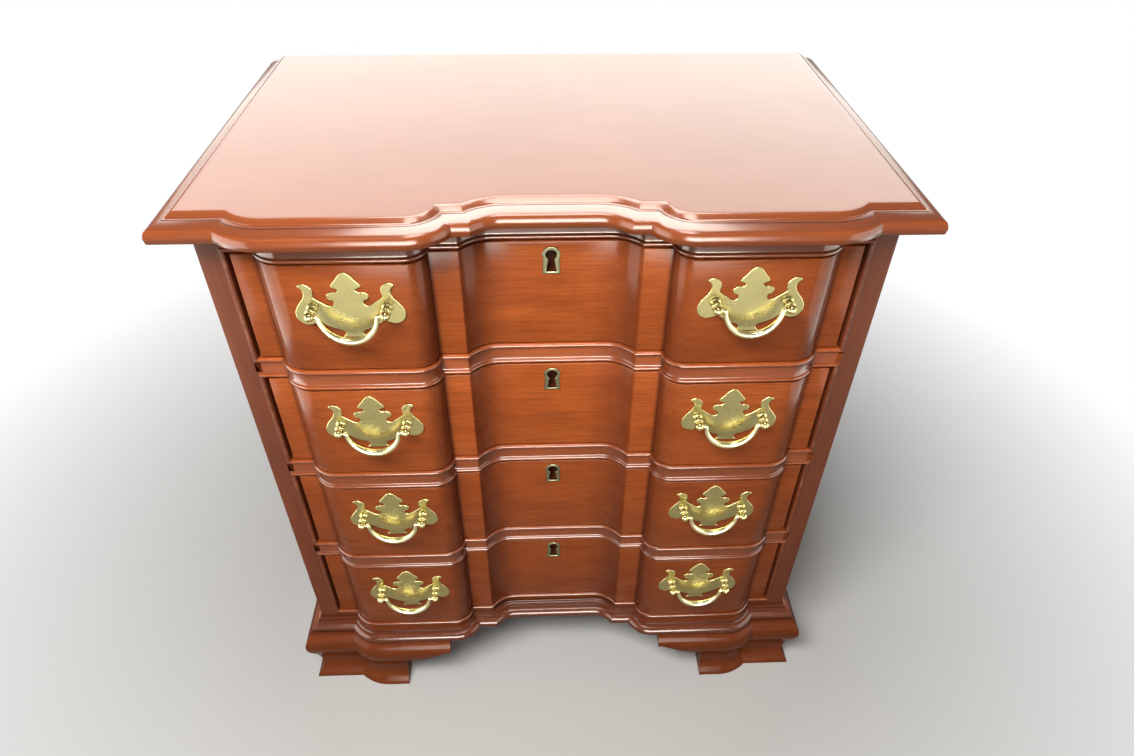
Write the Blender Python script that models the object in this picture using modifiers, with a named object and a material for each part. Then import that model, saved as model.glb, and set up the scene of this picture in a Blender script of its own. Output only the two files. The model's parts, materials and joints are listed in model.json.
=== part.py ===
"""Block-front bedside chest: four drawers, moulded top, ogee bracket feet and brass bail pulls.

Metres, +Z up. The front faces -Y. The origin is on the floor, under the middle of the whole chest.
Case pieces are drawn in a frame whose Y starts at the front face of the stiles.
"""
import math

import bmesh
import bpy
from mathutils import Vector

# Case
CASE_WIDTH = 0.660
CASE_DEPTH = 0.405
SIDE_THICKNESS = 0.019
STILE_WIDTH = 0.0265
STILE_DEPTH = 0.022
BACK_THICKNESS = 0.006
BACK_INSET = 0.002
BACK_REBATE = 0.007
PANEL_THICKNESS = 0.011

# Heights, from the floor up
FOOT_HEIGHT = 0.097
BASE_HEIGHT = 0.0295
BOTTOM_RAIL_SHOWN = 0.0110
OPENING_HEIGHT = 0.1265
RAIL_HEIGHT = 0.025
TOP_RAIL_HEIGHT = 0.0225
TOP_THICKNESS = 0.023
DRAWER_COUNT = 4

# Plan of the blocked front, from the middle outwards
RECESS_FLAT = 0.055
RECESS_CURVE = 0.033
STRIP_WIDTH = 0.028
BLOCK_INNER_CURVE = 0.022
BLOCK_OUTER_CURVE = 0.030
OUTER_FLAT = 0.027
RECESS_DEPTH = 0.017
BLOCK_RISE = 0.0225
RAIL_STOCK = 0.025
CURVE_STEPS = 4

# Beads round the drawer openings
BEAD_WIDTH = 0.005
BEAD_RISE = 0.0026
BEAD_STEPS = 4

# Top board: where its flat ends beyond the stile face, and the moulding beyond that
TOP_FLAT_REACH = 0.0073
TOP_BLOCK_REACH = 0.0238
TOP_STRIP_REACH = 0.0008
TOP_RECESS_REACH = -0.0137
TOP_BLOCK_SPREAD = 0.013
TOP_BACK_OVERHANG = 0.0065
TOP_NOSE = 0.020
TOP_COVE = 0.0038
TOP_FILLET = 0.004
TOP_COVE_DROP = 0.003
TOP_FILLET_DROP = 0.0022
TOP_NOSE_HEIGHT = 0.008
TOP_NOSE_EASE = 0.0027

# Base moulding, beyond the case
BASE_LIP = 0.0040
BASE_LIP_DROP = 0.0047
BASE_SHOULDER = 0.0060
BASE_SHOULDER_DROP = 0.0100
BASE_NOSE = 0.0143
BASE_NOSE_DROP = 0.0185
BASE_QUIRK = 0.0105
BASE_QUIRK_DROP = 0.0240
BASE_BACKING = 0.0040

# Ogee bracket feet, beyond the case
FOOT_BLOCK_RISE = 0.0163
FOOT_TOP = 0.0155
FOOT_BULGE = 0.026
FOOT_NECK = 0.0140
FOOT_TOE = 0.0235
FOOT_STOCK = 0.012
FOOT_BULGE_DROP = 0.017
FOOT_NECK_HEIGHT = 0.037
FOOT_TOE_HEIGHT = 0.003
FOOT_WIDTH = 0.113
BRACKET_REACH = 0.069
SIDE_FOOT_WIDTH = 0.095
SIDE_BRACKET_REACH = 0.058
BRACKET_SPRING = 0.058
BRACKET_EASE = 0.0085
BRACKET_TIP = 0.011
REAR_BOARD = 0.019
SAW_RUN = 0.030

# Drawers
DRAWER_SIDE_GAP = 0.0045
DRAWER_TOP_GAP = 0.003
DRAWER_FOOT_GAP = 0.0015
DRAWER_FRONT_STOCK = 0.021
DRAWER_BACK_ROOM = 0.029
DRAWER_SIDE_THICKNESS = 0.012
DRAWER_BACK_THICKNESS = 0.012
DRAWER_SIDE_HEIGHT = 0.105
DRAWER_SIDE_INSET = 0.001
DRAWER_BOTTOM_THICKNESS = 0.006
DRAWER_BOTTOM_LIFT = 0.008
GROOVE_DEPTH = 0.005
GUIDE_HEIGHT = 0.016
GUIDE_GAP = 0.002

# Brass pulls
POST_SPACING = 0.0706
POST_REACH = 0.0145
POST_BALL = 0.0047
POST_NECK = 0.0038
POST_COLLAR = 0.007
POST_FLANGE = 0.0056
POST_FLARE = 0.003
POST_SIDES = 8
PLATE_THICKNESS = 0.0015
PLATE_LOBE = 0.0170
PLATE_RISE = 0.039
PLATE_FALL = 0.0347
PULL_ABOVE_MIDDLE = 0.015
BAIL_HALF_WIDTH = 0.0276
BAIL_DROP = 0.0295
BAIL_PIN = 0.0016
BAIL_END = 0.0022
BAIL_SWELL = 0.0011
BAIL_STEPS = 10
PIN_CLEARANCE = 0.0004

# Brass keyhole rims, and the slot in them
KEYHOLE_HEIGHT = 0.0305
KEYHOLE_HEAD = 0.0090
KEYHOLE_SKIRT = 0.0090
KEYHOLE_LEAN = math.radians(27)
KEYHOLE_THICKNESS = 0.003
KEYHOLE_PROUD = 0.001
KEYHOLE_BELOW_TOP = 0.006
SLOT_HEAD = 0.0054
SLOT_SKIRT = 0.0052
SLOT_LEAN = math.radians(56)
SLOT_ABOVE_FOOT = 0.0025
SLOT_DEPTH = 0.012
KEYHOLE_STEPS = 8

# Pieces that touch keep this much air
SEAT_GAP = 0.0003

# Sizes that follow from those above
HALF_CASE = CASE_WIDTH / 2
HALF_OPENING = HALF_CASE - STILE_WIDTH
INNER_HALF = HALF_CASE - SIDE_THICKNESS
RECESS_EDGE = RECESS_FLAT + RECESS_CURVE
STRIP_EDGE = RECESS_EDGE + STRIP_WIDTH
BLOCK_START = STRIP_EDGE + BLOCK_INNER_CURVE
BLOCK_ROOT = HALF_OPENING - OUTER_FLAT
BLOCK_STOP = BLOCK_ROOT - BLOCK_OUTER_CURVE
BASE_TOP = FOOT_HEIGHT + BASE_HEIGHT
FIRST_OPENING = BASE_TOP + BOTTOM_RAIL_SHOWN
PITCH = OPENING_HEIGHT + RAIL_HEIGHT
LAST_OPENING_TOP = FIRST_OPENING + DRAWER_COUNT * PITCH - RAIL_HEIGHT
CASE_TOP = LAST_OPENING_TOP + TOP_RAIL_HEIGHT
RAIL_BACK = RECESS_DEPTH + RAIL_STOCK
BACK_FRONT = CASE_DEPTH - BACK_INSET - BACK_THICKNESS
PULL_REACH = SEAT_GAP + PLATE_THICKNESS + POST_REACH + POST_BALL
FOOT_REACH = FOOT_BLOCK_RISE + FOOT_BULGE
FRONT_REACH = max(BLOCK_RISE + PULL_REACH, TOP_BLOCK_REACH + TOP_NOSE, FOOT_REACH)
BACK_REACH = CASE_DEPTH + TOP_BACK_OVERHANG
STILE_FACE_Y = (FRONT_REACH - BACK_REACH) / 2
DRAWER_HALF = HALF_OPENING - DRAWER_SIDE_GAP
DRAWER_FRONT_BACK = RECESS_DEPTH + DRAWER_FRONT_STOCK
DRAWER_FRONT_HEIGHT = OPENING_HEIGHT - DRAWER_TOP_GAP - DRAWER_FOOT_GAP
BOX_HALF = DRAWER_HALF - DRAWER_SIDE_INSET
BOX_BACK = BACK_FRONT - DRAWER_BACK_ROOM
PULL_X = (BLOCK_START + BLOCK_STOP) / 2
PULL_Z = OPENING_HEIGHT / 2 + PULL_ABOVE_MIDDLE
PULL_Y = -BLOCK_RISE - SEAT_GAP
BAIL_Y = PULL_Y - PLATE_THICKNESS - POST_REACH
PLATE_HALF = POST_SPACING / 2 + PLATE_LOBE
BALL_Z = PLATE_THICKNESS / 2 + POST_REACH
GROOVE_FLOOR = SEAT_GAP + DRAWER_BOTTOM_LIFT
GROOVE_TOP = GROOVE_FLOOR + DRAWER_BOTTOM_THICKNESS
BOX_INNER = BOX_HALF - DRAWER_SIDE_THICKNESS
GROOVE_HALF = BOX_INNER + GROOVE_DEPTH
QUARTER_TURN = math.pi / 2


# Collections, finishes and objects

def clear_scene():
    for old in list(bpy.data.objects):
        bpy.data.objects.remove(old, do_unlink=True)


def new_collection(name):
    made = bpy.data.collections.new(name)
    bpy.context.scene.collection.children.link(made)
    return made


def finish(name, colour, roughness, metallic=0.0):
    made = bpy.data.materials.new(name)
    made.use_nodes = True
    shader = made.node_tree.nodes["Principled BSDF"]
    shader.inputs["Base Color"].default_value = (*colour, 1.0)
    shader.inputs["Roughness"].default_value = roughness
    shader.inputs["Metallic"].default_value = metallic
    return made


class Bench:
    """The collections and finishes that every piece is made with."""

    def __init__(self):
        self.parts = new_collection("block_front_chest")
        self.cutters = new_collection("block_front_chest_cutters")
        self.frame = self.empty("chest_frame", (0, STILE_FACE_Y, 0))
        self.case_wood = finish("case_mahogany", (0.16, 0.045, 0.02), 0.32)
        self.drawer_wood = finish("drawer_mahogany", (0.24, 0.07, 0.025), 0.3)
        self.inner_wood = finish("inner_poplar", (0.55, 0.40, 0.24), 0.6)
        self.brass = finish("polished_brass", (0.80, 0.62, 0.25), 0.18, 1.0)

    def empty(self, name, place, parent=None):
        made = bpy.data.objects.new(name, None)
        made.location = place
        made.parent = parent
        self.parts.objects.link(made)
        return made

    def add(self, name, mesh, wood, place=(0, 0, 0), turn=(0, 0, 0), parent=None):
        made = bpy.data.objects.new(name, mesh)
        made.location = place
        made.rotation_euler = turn
        made.parent = parent or self.frame
        if not mesh.materials:
            mesh.materials.append(wood)
        self.parts.objects.link(made)
        return made

    def cutter(self, name, mesh, place=(0, 0, 0), turn=(0, 0, 0), parent=None):
        made = bpy.data.objects.new(name, mesh)
        made.location = place
        made.rotation_euler = turn
        made.parent = parent or self.frame
        made.hide_render = True
        made.display_type = "WIRE"
        self.cutters.objects.link(made)
        return made


def combine(target, other, how):
    joint = target.modifiers.new(other.name, "BOOLEAN")
    joint.operation = how
    joint.object = other


def settled_mesh(source):
    """The object's mesh with its modifiers carried out, in the object's own axes."""
    bpy.context.view_layer.update()
    ready = source.evaluated_get(bpy.context.evaluated_depsgraph_get())
    return bpy.data.meshes.new_from_object(ready)


# Solids

def mesh_from(name, build):
    shape = bmesh.new()
    build(shape)
    bmesh.ops.recalc_face_normals(shape, faces=shape.faces)
    made = bpy.data.meshes.new(name)
    shape.to_mesh(made)
    shape.free()
    return made


def box_mesh(name, low, high):
    size = Vector(high) - Vector(low)
    middle = (Vector(high) + Vector(low)) / 2

    def build(shape):
        corners = bmesh.ops.create_cube(shape, size=1)["verts"]
        bmesh.ops.scale(shape, vec=size, verts=corners)
        bmesh.ops.translate(shape, vec=middle, verts=corners)
    return mesh_from(name, build)


def loft_mesh(name, sections):
    """A closed solid through like sections, each a closed loop of points, capped at both ends."""
    def build(shape):
        loops = [[shape.verts.new(point) for point in section] for section in sections]
        count = len(sections[0])
        for near, far in zip(loops, loops[1:]):
            for i in range(count):
                j = (i + 1) % count
                shape.faces.new((near[i], near[j], far[j], far[i]))
        shape.faces.new(loops[0])
        shape.faces.new(loops[-1])
    return mesh_from(name, build)


def outline_mesh(name, spline_points, thickness, smooth=False):
    """A flat outline filled and given a thickness along its own Z, both ways from its plane."""
    drawn = bpy.data.curves.new(name, "CURVE")
    drawn.dimensions = "2D"
    drawn.fill_mode = "BOTH"
    drawn.extrude = thickness / 2
    if smooth:
        bezier_spline(drawn, spline_points)
    else:
        spline = drawn.splines.new("POLY")
        spline.points.add(len(spline_points) - 1)
        for point, place in zip(spline.points, spline_points):
            point.co = (*place, 0, 1)
        spline.use_cyclic_u = True
    return mesh_of_curve(drawn)


def bezier_spline(drawn, marks):
    """A closed outline through marks of (x, y, kind), where a VECTOR mark is a cusp."""
    drawn.resolution_u = 2
    spline = drawn.splines.new("BEZIER")
    spline.bezier_points.add(len(marks) - 1)
    for point, (x, y, kind) in zip(spline.bezier_points, marks):
        point.co = (x, y, 0)
        point.handle_left_type = kind
        point.handle_right_type = kind
    spline.use_cyclic_u = True


def mesh_of_curve(drawn):
    """A curve turned into a mesh, with its loose caps welded on."""
    carrier = bpy.data.objects.new(drawn.name, drawn)
    bpy.context.scene.collection.objects.link(carrier)
    made = settled_mesh(carrier)
    bpy.data.objects.remove(carrier)
    shape = bmesh.new()
    shape.from_mesh(made)
    bmesh.ops.remove_doubles(shape, verts=shape.verts, dist=0.00001)
    bmesh.ops.recalc_face_normals(shape, faces=shape.faces)
    shape.to_mesh(made)
    shape.free()
    return made


def turned_mesh(name, profile, sides):
    """A profile of (radius, height), top to bottom, turned about Z with the Screw modifier."""
    def build(shape):
        points = [shape.verts.new((radius, 0, height)) for radius, height in profile]
        for upper, lower in zip(points, points[1:]):
            shape.edges.new((upper, lower))
    line = mesh_from(name, build)
    carrier = bpy.data.objects.new(name, line)
    bpy.context.scene.collection.objects.link(carrier)
    turn = carrier.modifiers.new("turn", "SCREW")
    turn.steps = sides
    turn.render_steps = sides
    turn.use_merge_vertices = True
    turn.merge_threshold = 0.00001
    made = settled_mesh(carrier)
    bpy.data.objects.remove(carrier)
    made.materials.clear()
    return made


# Plan of the blocked front

def tangent_arc(start, end, steps=CURVE_STEPS):
    """Points after start, up to end, on the circle that leaves start along X."""
    run = end[0] - start[0]
    rise = end[1] - start[1]
    sweep = 2 * math.atan2(abs(rise), abs(run))
    radius = abs(run) / math.sin(sweep)
    across = math.copysign(radius, run)
    up = math.copysign(radius, rise)
    angles = [sweep * i / steps for i in range(1, steps + 1)]
    return [(start[0] + across * math.sin(a), start[1] + up * (1 - math.cos(a))) for a in angles]


def arc_into(start, end):
    """The same arc walked the other way: it arrives at end along X."""
    back = tangent_arc(end, start)
    return back[-2::-1] + [end]


def half_front(recess, strip, block, corner, end_x, spread=0.0):
    """Right half of the front line, from the middle outwards, as (x, reach beyond the stile face)."""
    recess_flat = (RECESS_FLAT - spread, recess)
    recess_edge = (RECESS_EDGE - spread / 2, strip)
    strip_edge = (STRIP_EDGE - spread, strip)
    block_start = (BLOCK_START - spread / 2, block)
    block_stop = (BLOCK_STOP + spread / 2, block)
    block_root = (BLOCK_ROOT + spread, corner)
    line = [recess_flat] + tangent_arc(recess_flat, recess_edge) + [strip_edge]
    line += arc_into(strip_edge, block_start) + [block_stop] + tangent_arc(block_stop, block_root)
    return line + [(end_x, corner)]


def whole_front(half):
    """Left to right line of (x, y), with reach turned into -Y."""
    right = [(x, -reach) for x, reach in half]
    left = [(-x, y) for x, y in reversed(right)]
    return left + right


def case_front(end_x, block=BLOCK_RISE):
    return whole_front(half_front(-RECESS_DEPTH, 0.0, block, 0.0, end_x))


def heading(start, end):
    span = math.hypot(end[0] - start[0], end[1] - start[1])
    return (end[0] - start[0]) / span, (end[1] - start[1]) / span


def offset_line(line, distance, before=None, after=None):
    """The line moved outwards (to its right) by a distance, with mitred corners.

    before and after are headings of the lines that it mitres with at its two ends.
    """
    headings = [heading(a, b) for a, b in zip(line, line[1:])]
    arriving = [before or headings[0]] + headings
    leaving = headings + [after or headings[-1]]
    moved = []
    for (x, y), (ax, ay), (lx, ly) in zip(line, arriving, leaving):
        share = distance / (1 + ax * lx + ay * ly)
        moved.append((x + (ay + ly) * share, y - (ax + lx) * share))
    return moved


def sweep_mesh(name, line, profile, before=None, after=None):
    """A closed profile of (reach, z) carried along a plan line."""
    lines = [offset_line(line, reach, before, after) for reach, _ in profile]
    heights = [z for _, z in profile]
    sections = []
    for i in range(len(line)):
        sections.append([(*moved[i], z) for moved, z in zip(lines, heights)])
    return loft_mesh(name, sections)


def rail_mesh(name, profile):
    """A beaded face of (reach, z) along the blocked front, on stock with a flat back."""
    line = case_front(HALF_OPENING - SEAT_GAP)
    lines = [offset_line(line, reach) for reach, _ in profile]
    top = profile[0][1]
    foot = profile[-1][1]
    sections = []
    for i, (x, _) in enumerate(line):
        face = [(*moved[i], z) for moved, (_, z) in zip(lines, profile)]
        sections.append(face + [(x, RAIL_BACK, foot), (x, RAIL_BACK, top)])
    return loft_mesh(name, sections)


def bead_profile(top):
    """A half-round bead of (reach, z), from its top edge down."""
    angles = [math.pi * i / BEAD_STEPS for i in range(BEAD_STEPS + 1)]
    half = BEAD_WIDTH / 2
    return [(BEAD_RISE * math.sin(a), top - half + half * math.cos(a)) for a in angles]


def opening_floor(number):
    """Height of the floor of a drawer opening. Drawer 1 is the top one."""
    return FIRST_OPENING + (DRAWER_COUNT - number) * PITCH


# Case

def make_sides(bench):
    outline = [
        (HALF_CASE, 0.0),
        (HALF_OPENING, 0.0),
        (HALF_OPENING, STILE_DEPTH),
        (INNER_HALF, STILE_DEPTH),
        (INNER_HALF, BACK_FRONT),
        (INNER_HALF + BACK_REBATE, BACK_FRONT),
        (INNER_HALF + BACK_REBATE, CASE_DEPTH),
        (HALF_CASE, CASE_DEPTH),
    ]
    for name, hand in (("left_side", -1), ("right_side", 1)):
        ends = [[(hand * x, y, z) for x, y in outline] for z in (FOOT_HEIGHT, CASE_TOP)]
        side = bench.add(name, loft_mesh(name, ends), bench.case_wood)
        for number in range(1, DRAWER_COUNT + 1):
            floor = opening_floor(number)
            combine(side, bench.cutter(f"{name}_bead_{number}", side_bead(hand, floor)), "UNION")
            combine(side, bench.cutter(f"{name}_guide_{number}", side_guide(hand, floor)), "UNION")


def side_bead(hand, floor):
    """The upright bead beside one opening, let into the stile so that the two join."""
    inner = HALF_OPENING + SEAT_GAP
    half = BEAD_WIDTH / 2
    angles = [math.pi * i / BEAD_STEPS for i in range(BEAD_STEPS + 1)]
    rise = BEAD_RISE + SEAT_GAP
    face = [(inner + half + half * math.cos(a), SEAT_GAP - rise * math.sin(a)) for a in angles]
    face += [(inner, STILE_DEPTH / 2), (inner + BEAD_WIDTH, STILE_DEPTH / 2)]
    foot = floor - BEAD_WIDTH
    top = floor + OPENING_HEIGHT + BEAD_WIDTH
    return loft_mesh("side_bead", [[(hand * x, y, z) for x, y in face] for z in (foot, top)])


def side_guide(hand, floor):
    """The strip on the case side that keeps a drawer straight."""
    inner = BOX_HALF + GUIDE_GAP
    outer = INNER_HALF + SIDE_THICKNESS / 2
    low = (min(hand * inner, hand * outer), RAIL_BACK + SEAT_GAP, floor + SEAT_GAP)
    high = (max(hand * inner, hand * outer), BACK_FRONT - SEAT_GAP, floor + GUIDE_HEIGHT)
    return box_mesh("side_guide", low, high)


def make_rails(bench):
    crown = CASE_TOP - SEAT_GAP
    top_face = [(0.0, crown)] + bead_profile(LAST_OPENING_TOP + BEAD_WIDTH)
    bench.add("top_rail", rail_mesh("top_rail", top_face), bench.case_wood)
    for number in range(1, DRAWER_COUNT):
        top = opening_floor(number)
        face = bead_profile(top) + bead_profile(top - RAIL_HEIGHT + BEAD_WIDTH)
        name = f"drawer_rail_{number}"
        bench.add(name, rail_mesh(name, face), bench.case_wood)
    foot_face = bead_profile(FIRST_OPENING) + [(0.0, FOOT_HEIGHT)]
    bench.add("bottom_rail", rail_mesh("bottom_rail", foot_face), bench.case_wood)


def make_panels(bench):
    half = INNER_HALF - SEAT_GAP
    front = RAIL_BACK + SEAT_GAP
    back = BACK_FRONT - SEAT_GAP
    names = [f"dust_panel_{number}" for number in range(1, DRAWER_COUNT)] + ["bottom_panel"]
    for number, name in enumerate(names, start=1):
        top = opening_floor(number)
        mesh = box_mesh(name, (-half, front, top - PANEL_THICKNESS), (half, back, top))
        bench.add(name, mesh, bench.inner_wood)
    half_back = INNER_HALF + BACK_REBATE - SEAT_GAP
    low = (-half_back, BACK_FRONT, FOOT_HEIGHT)
    high = (half_back, BACK_FRONT + BACK_THICKNESS, CASE_TOP - SEAT_GAP)
    bench.add("back_panel", box_mesh("back_panel", low, high), bench.inner_wood)


# Top board

def top_edge_profile():
    """The moulded edge as (reach beyond the flat, drop below the top face), from the top down."""
    fillet_reach = TOP_COVE + TOP_FILLET
    fillet_drop = TOP_COVE_DROP + TOP_FILLET_DROP
    round_run = TOP_NOSE - fillet_reach
    round_drop = TOP_THICKNESS - TOP_NOSE_HEIGHT - fillet_drop
    edge = [(0.0, 0.0), (TOP_COVE, TOP_COVE_DROP), (TOP_COVE, TOP_COVE_DROP + TOP_FILLET_DROP / 2)]
    edge.append((fillet_reach, fillet_drop))
    for i in range(1, CURVE_STEPS + 1):
        angle = QUARTER_TURN * i / CURVE_STEPS
        edge.append((fillet_reach + round_run * math.sin(angle),
                     fillet_drop + round_drop * (1 - math.cos(angle))))
    edge.append((TOP_NOSE, TOP_THICKNESS - TOP_NOSE_EASE))
    edge.append((TOP_NOSE - TOP_NOSE_EASE, TOP_THICKNESS))
    return edge


def make_top(bench):
    half = half_front(TOP_RECESS_REACH, TOP_STRIP_REACH, TOP_BLOCK_REACH, TOP_FLAT_REACH,
                      HALF_CASE + TOP_FLAT_REACH, TOP_BLOCK_SPREAD)
    front = whole_front(half)
    crown = CASE_TOP + TOP_THICKNESS
    sections = []
    for reach, drop in top_edge_profile():
        z = max(crown - drop, CASE_TOP + SEAT_GAP)
        moved = offset_line(front, reach, (0, -1), (0, 1))
        back = [(moved[-1][0], BACK_REACH), (moved[0][0], BACK_REACH)]
        sections.append([(x, y, z) for x, y in moved + back])
    bench.add("top_panel", loft_mesh("top_panel", sections), bench.case_wood)


# Base moulding and feet

def base_profile():
    """The base moulding as a closed profile of (reach, z): a lip, a round nose and its backing."""
    shoulder = BASE_TOP - BASE_SHOULDER_DROP
    quirk = BASE_TOP - BASE_QUIRK_DROP
    round_run = BASE_NOSE - BASE_SHOULDER
    round_drop = BASE_NOSE_DROP - BASE_SHOULDER_DROP
    profile = [(SEAT_GAP, BASE_TOP), (BASE_LIP, BASE_TOP - BASE_LIP_DROP)]
    for i in range(CURVE_STEPS + 1):
        angle = QUARTER_TURN * i / CURVE_STEPS
        profile.append((BASE_SHOULDER + round_run * math.sin(angle),
                        shoulder - round_drop * (1 - math.cos(angle))))
    profile += [(BASE_QUIRK, quirk), (BASE_BACKING, quirk)]
    return profile + [(BASE_BACKING, FOOT_HEIGHT), (SEAT_GAP, FOOT_HEIGHT)]


def make_base(bench):
    profile = base_profile()
    front = case_front(HALF_CASE)
    mesh = sweep_mesh("base_moulding_front", front, profile, (0, -1), (0, 1))
    bench.add("base_moulding_front", mesh, bench.case_wood)
    mitre_gap = SEAT_GAP * math.sqrt(2)
    left = [(-HALF_CASE, CASE_DEPTH), (-HALF_CASE, mitre_gap)]
    right = [(HALF_CASE, mitre_gap), (HALF_CASE, CASE_DEPTH)]
    mesh = sweep_mesh("base_moulding_left", left, profile, after=(1, 0))
    bench.add("base_moulding_left", mesh, bench.case_wood)
    mesh = sweep_mesh("base_moulding_right", right, profile, before=(1, 0))
    bench.add("base_moulding_right", mesh, bench.case_wood)


def swelling(share):
    return math.sin(QUARTER_TURN * share)


def turning_over(share):
    return (1 - math.cos(math.pi * share)) / 2


def flaring(share):
    return 1 - math.cos(QUARTER_TURN * share)


def foot_profile():
    """The ogee as a closed profile of (reach, z): a bulge over a hollow that flares to the toe."""
    top = FOOT_HEIGHT - SEAT_GAP
    marks = [(FOOT_TOP, top), (FOOT_BULGE, FOOT_HEIGHT - FOOT_BULGE_DROP), (FOOT_NECK, FOOT_NECK_HEIGHT),
             (FOOT_TOE, FOOT_TOE_HEIGHT)]
    profile = [marks[0]]
    for (reach, z), (next_reach, next_z), ease in zip(marks, marks[1:], (swelling, turning_over, flaring)):
        for i in range(1, CURVE_STEPS + 1):
            share = i / CURVE_STEPS
            profile.append((reach + (next_reach - reach) * ease(share), z + (next_z - z) * share))
    return profile + [(FOOT_TOE, 0.0), (-FOOT_STOCK, 0.0), (-FOOT_STOCK, top)]


def bracket_outline(foot_width, reach):
    """What is sawn away under a bracket, as (distance from the case corner, z)."""
    tip = foot_width + reach
    under = FOOT_HEIGHT - BRACKET_TIP
    past = tip + SAW_RUN
    return [
        (foot_width, -SAW_RUN),
        (foot_width, BRACKET_SPRING - BRACKET_EASE),
        (foot_width + BRACKET_EASE / 2, BRACKET_SPRING),
        (foot_width + BRACKET_EASE * 2, BRACKET_SPRING + BRACKET_EASE / 2),
        (tip - BRACKET_EASE, under),
        (past, under),
        (past, -SAW_RUN),
    ]


def side_saw(bench, name, hand, cut):
    """The cutter that shapes the bracket along one side of the case."""
    mesh = outline_mesh(name, cut, 2 * (FOOT_BULGE + SAW_RUN))
    return bench.cutter(name + "_side_cut", mesh, (hand * HALF_CASE, 0, 0), (QUARTER_TURN, 0, QUARTER_TURN))


def make_front_feet(bench):
    profile = foot_profile()
    inner_x = HALF_CASE - FOOT_WIDTH - BRACKET_REACH
    front = case_front(HALF_CASE, FOOT_BLOCK_RISE)
    outer_front = [(x, y) for x, y in front if x >= BLOCK_STOP]
    side_end = (HALF_CASE, SIDE_FOOT_WIDTH + SIDE_BRACKET_REACH)
    right_line = [(inner_x, -FOOT_BLOCK_RISE)] + outer_front + [side_end]
    left_line = [(-x, y) for x, y in reversed(right_line)]
    depth = 2 * (FOOT_REACH + SAW_RUN)
    for name, line, hand in (("front_left_foot", left_line, -1), ("front_right_foot", right_line, 1)):
        foot = bench.add(name, sweep_mesh(name, line, profile), bench.case_wood)
        cut = bracket_outline(FOOT_WIDTH, BRACKET_REACH)
        front_cut = [(hand * (HALF_CASE - along), z) for along, z in cut]
        saw = bench.cutter(name + "_front_cut", outline_mesh(name, front_cut, depth),
                           turn=(QUARTER_TURN, 0, 0))
        combine(foot, saw, "DIFFERENCE")
        combine(foot, side_saw(bench, name, hand, bracket_outline(SIDE_FOOT_WIDTH, SIDE_BRACKET_REACH)),
                "DIFFERENCE")


def make_rear_feet(bench):
    """Each rear foot is an ogee along the side, with a plain board across the back."""
    profile = foot_profile()
    side_cut = bracket_outline(SIDE_FOOT_WIDTH, SIDE_BRACKET_REACH)
    cut = [(CASE_DEPTH - along, z) for along, z in side_cut]
    side_start = CASE_DEPTH - SIDE_FOOT_WIDTH - SIDE_BRACKET_REACH
    board_half = HALF_CASE - FOOT_STOCK / 2
    board_foot = HALF_CASE - FOOT_WIDTH
    board_tip = board_foot - BRACKET_REACH
    top = FOOT_HEIGHT - SEAT_GAP
    board = [(board_half, 0.0), (board_half, top), (board_tip, top), (board_tip, FOOT_HEIGHT - BRACKET_TIP),
             (board_foot, BRACKET_SPRING), (board_foot, 0.0)]
    for name, hand in (("rear_left_foot", -1), ("rear_right_foot", 1)):
        line = [(HALF_CASE, side_start), (HALF_CASE, CASE_DEPTH)]
        if hand < 0:
            line = [(-x, y) for x, y in reversed(line)]
        foot = bench.add(name, sweep_mesh(name, line, profile), bench.case_wood)
        combine(foot, side_saw(bench, name, hand, cut), "DIFFERENCE")
        rear = [(hand * x, z) for x, z in board]
        plank = bench.cutter(name + "_rear_board", outline_mesh(name, rear, REAR_BOARD),
                             (0, CASE_DEPTH - REAR_BOARD / 2, 0), (QUARTER_TURN, 0, 0))
        combine(foot, plank, "UNION")


# Drawers. Their pieces are drawn from the middle of the opening's floor, at the stile face.

def keyhole_line(head, lean, skirt, foot):
    """A round head that narrows to a waist and widens to a square foot, in (x, z) from the head's middle."""
    sweep = math.pi + 2 * lean
    angles = [sweep * i / KEYHOLE_STEPS - lean for i in range(KEYHOLE_STEPS + 1)]
    line = [(head * math.cos(a), head * math.sin(a)) for a in angles]
    return line + [(-skirt, foot), (skirt, foot)]


def rim_outline(grow):
    """The keyhole rim's outer line, grown by a margin."""
    foot = KEYHOLE_HEAD - KEYHOLE_HEIGHT - grow
    return keyhole_line(KEYHOLE_HEAD + grow, KEYHOLE_LEAN, KEYHOLE_SKIRT + grow, foot)


def slot_outline():
    foot = KEYHOLE_HEAD - KEYHOLE_HEIGHT + SLOT_ABOVE_FOOT
    return keyhole_line(SLOT_HEAD, SLOT_LEAN, SLOT_SKIRT, foot)


def keyhole_middle():
    z = DRAWER_FOOT_GAP + DRAWER_FRONT_HEIGHT - KEYHOLE_BELOW_TOP - KEYHOLE_HEAD
    return 0.0, RECESS_DEPTH, z


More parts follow.
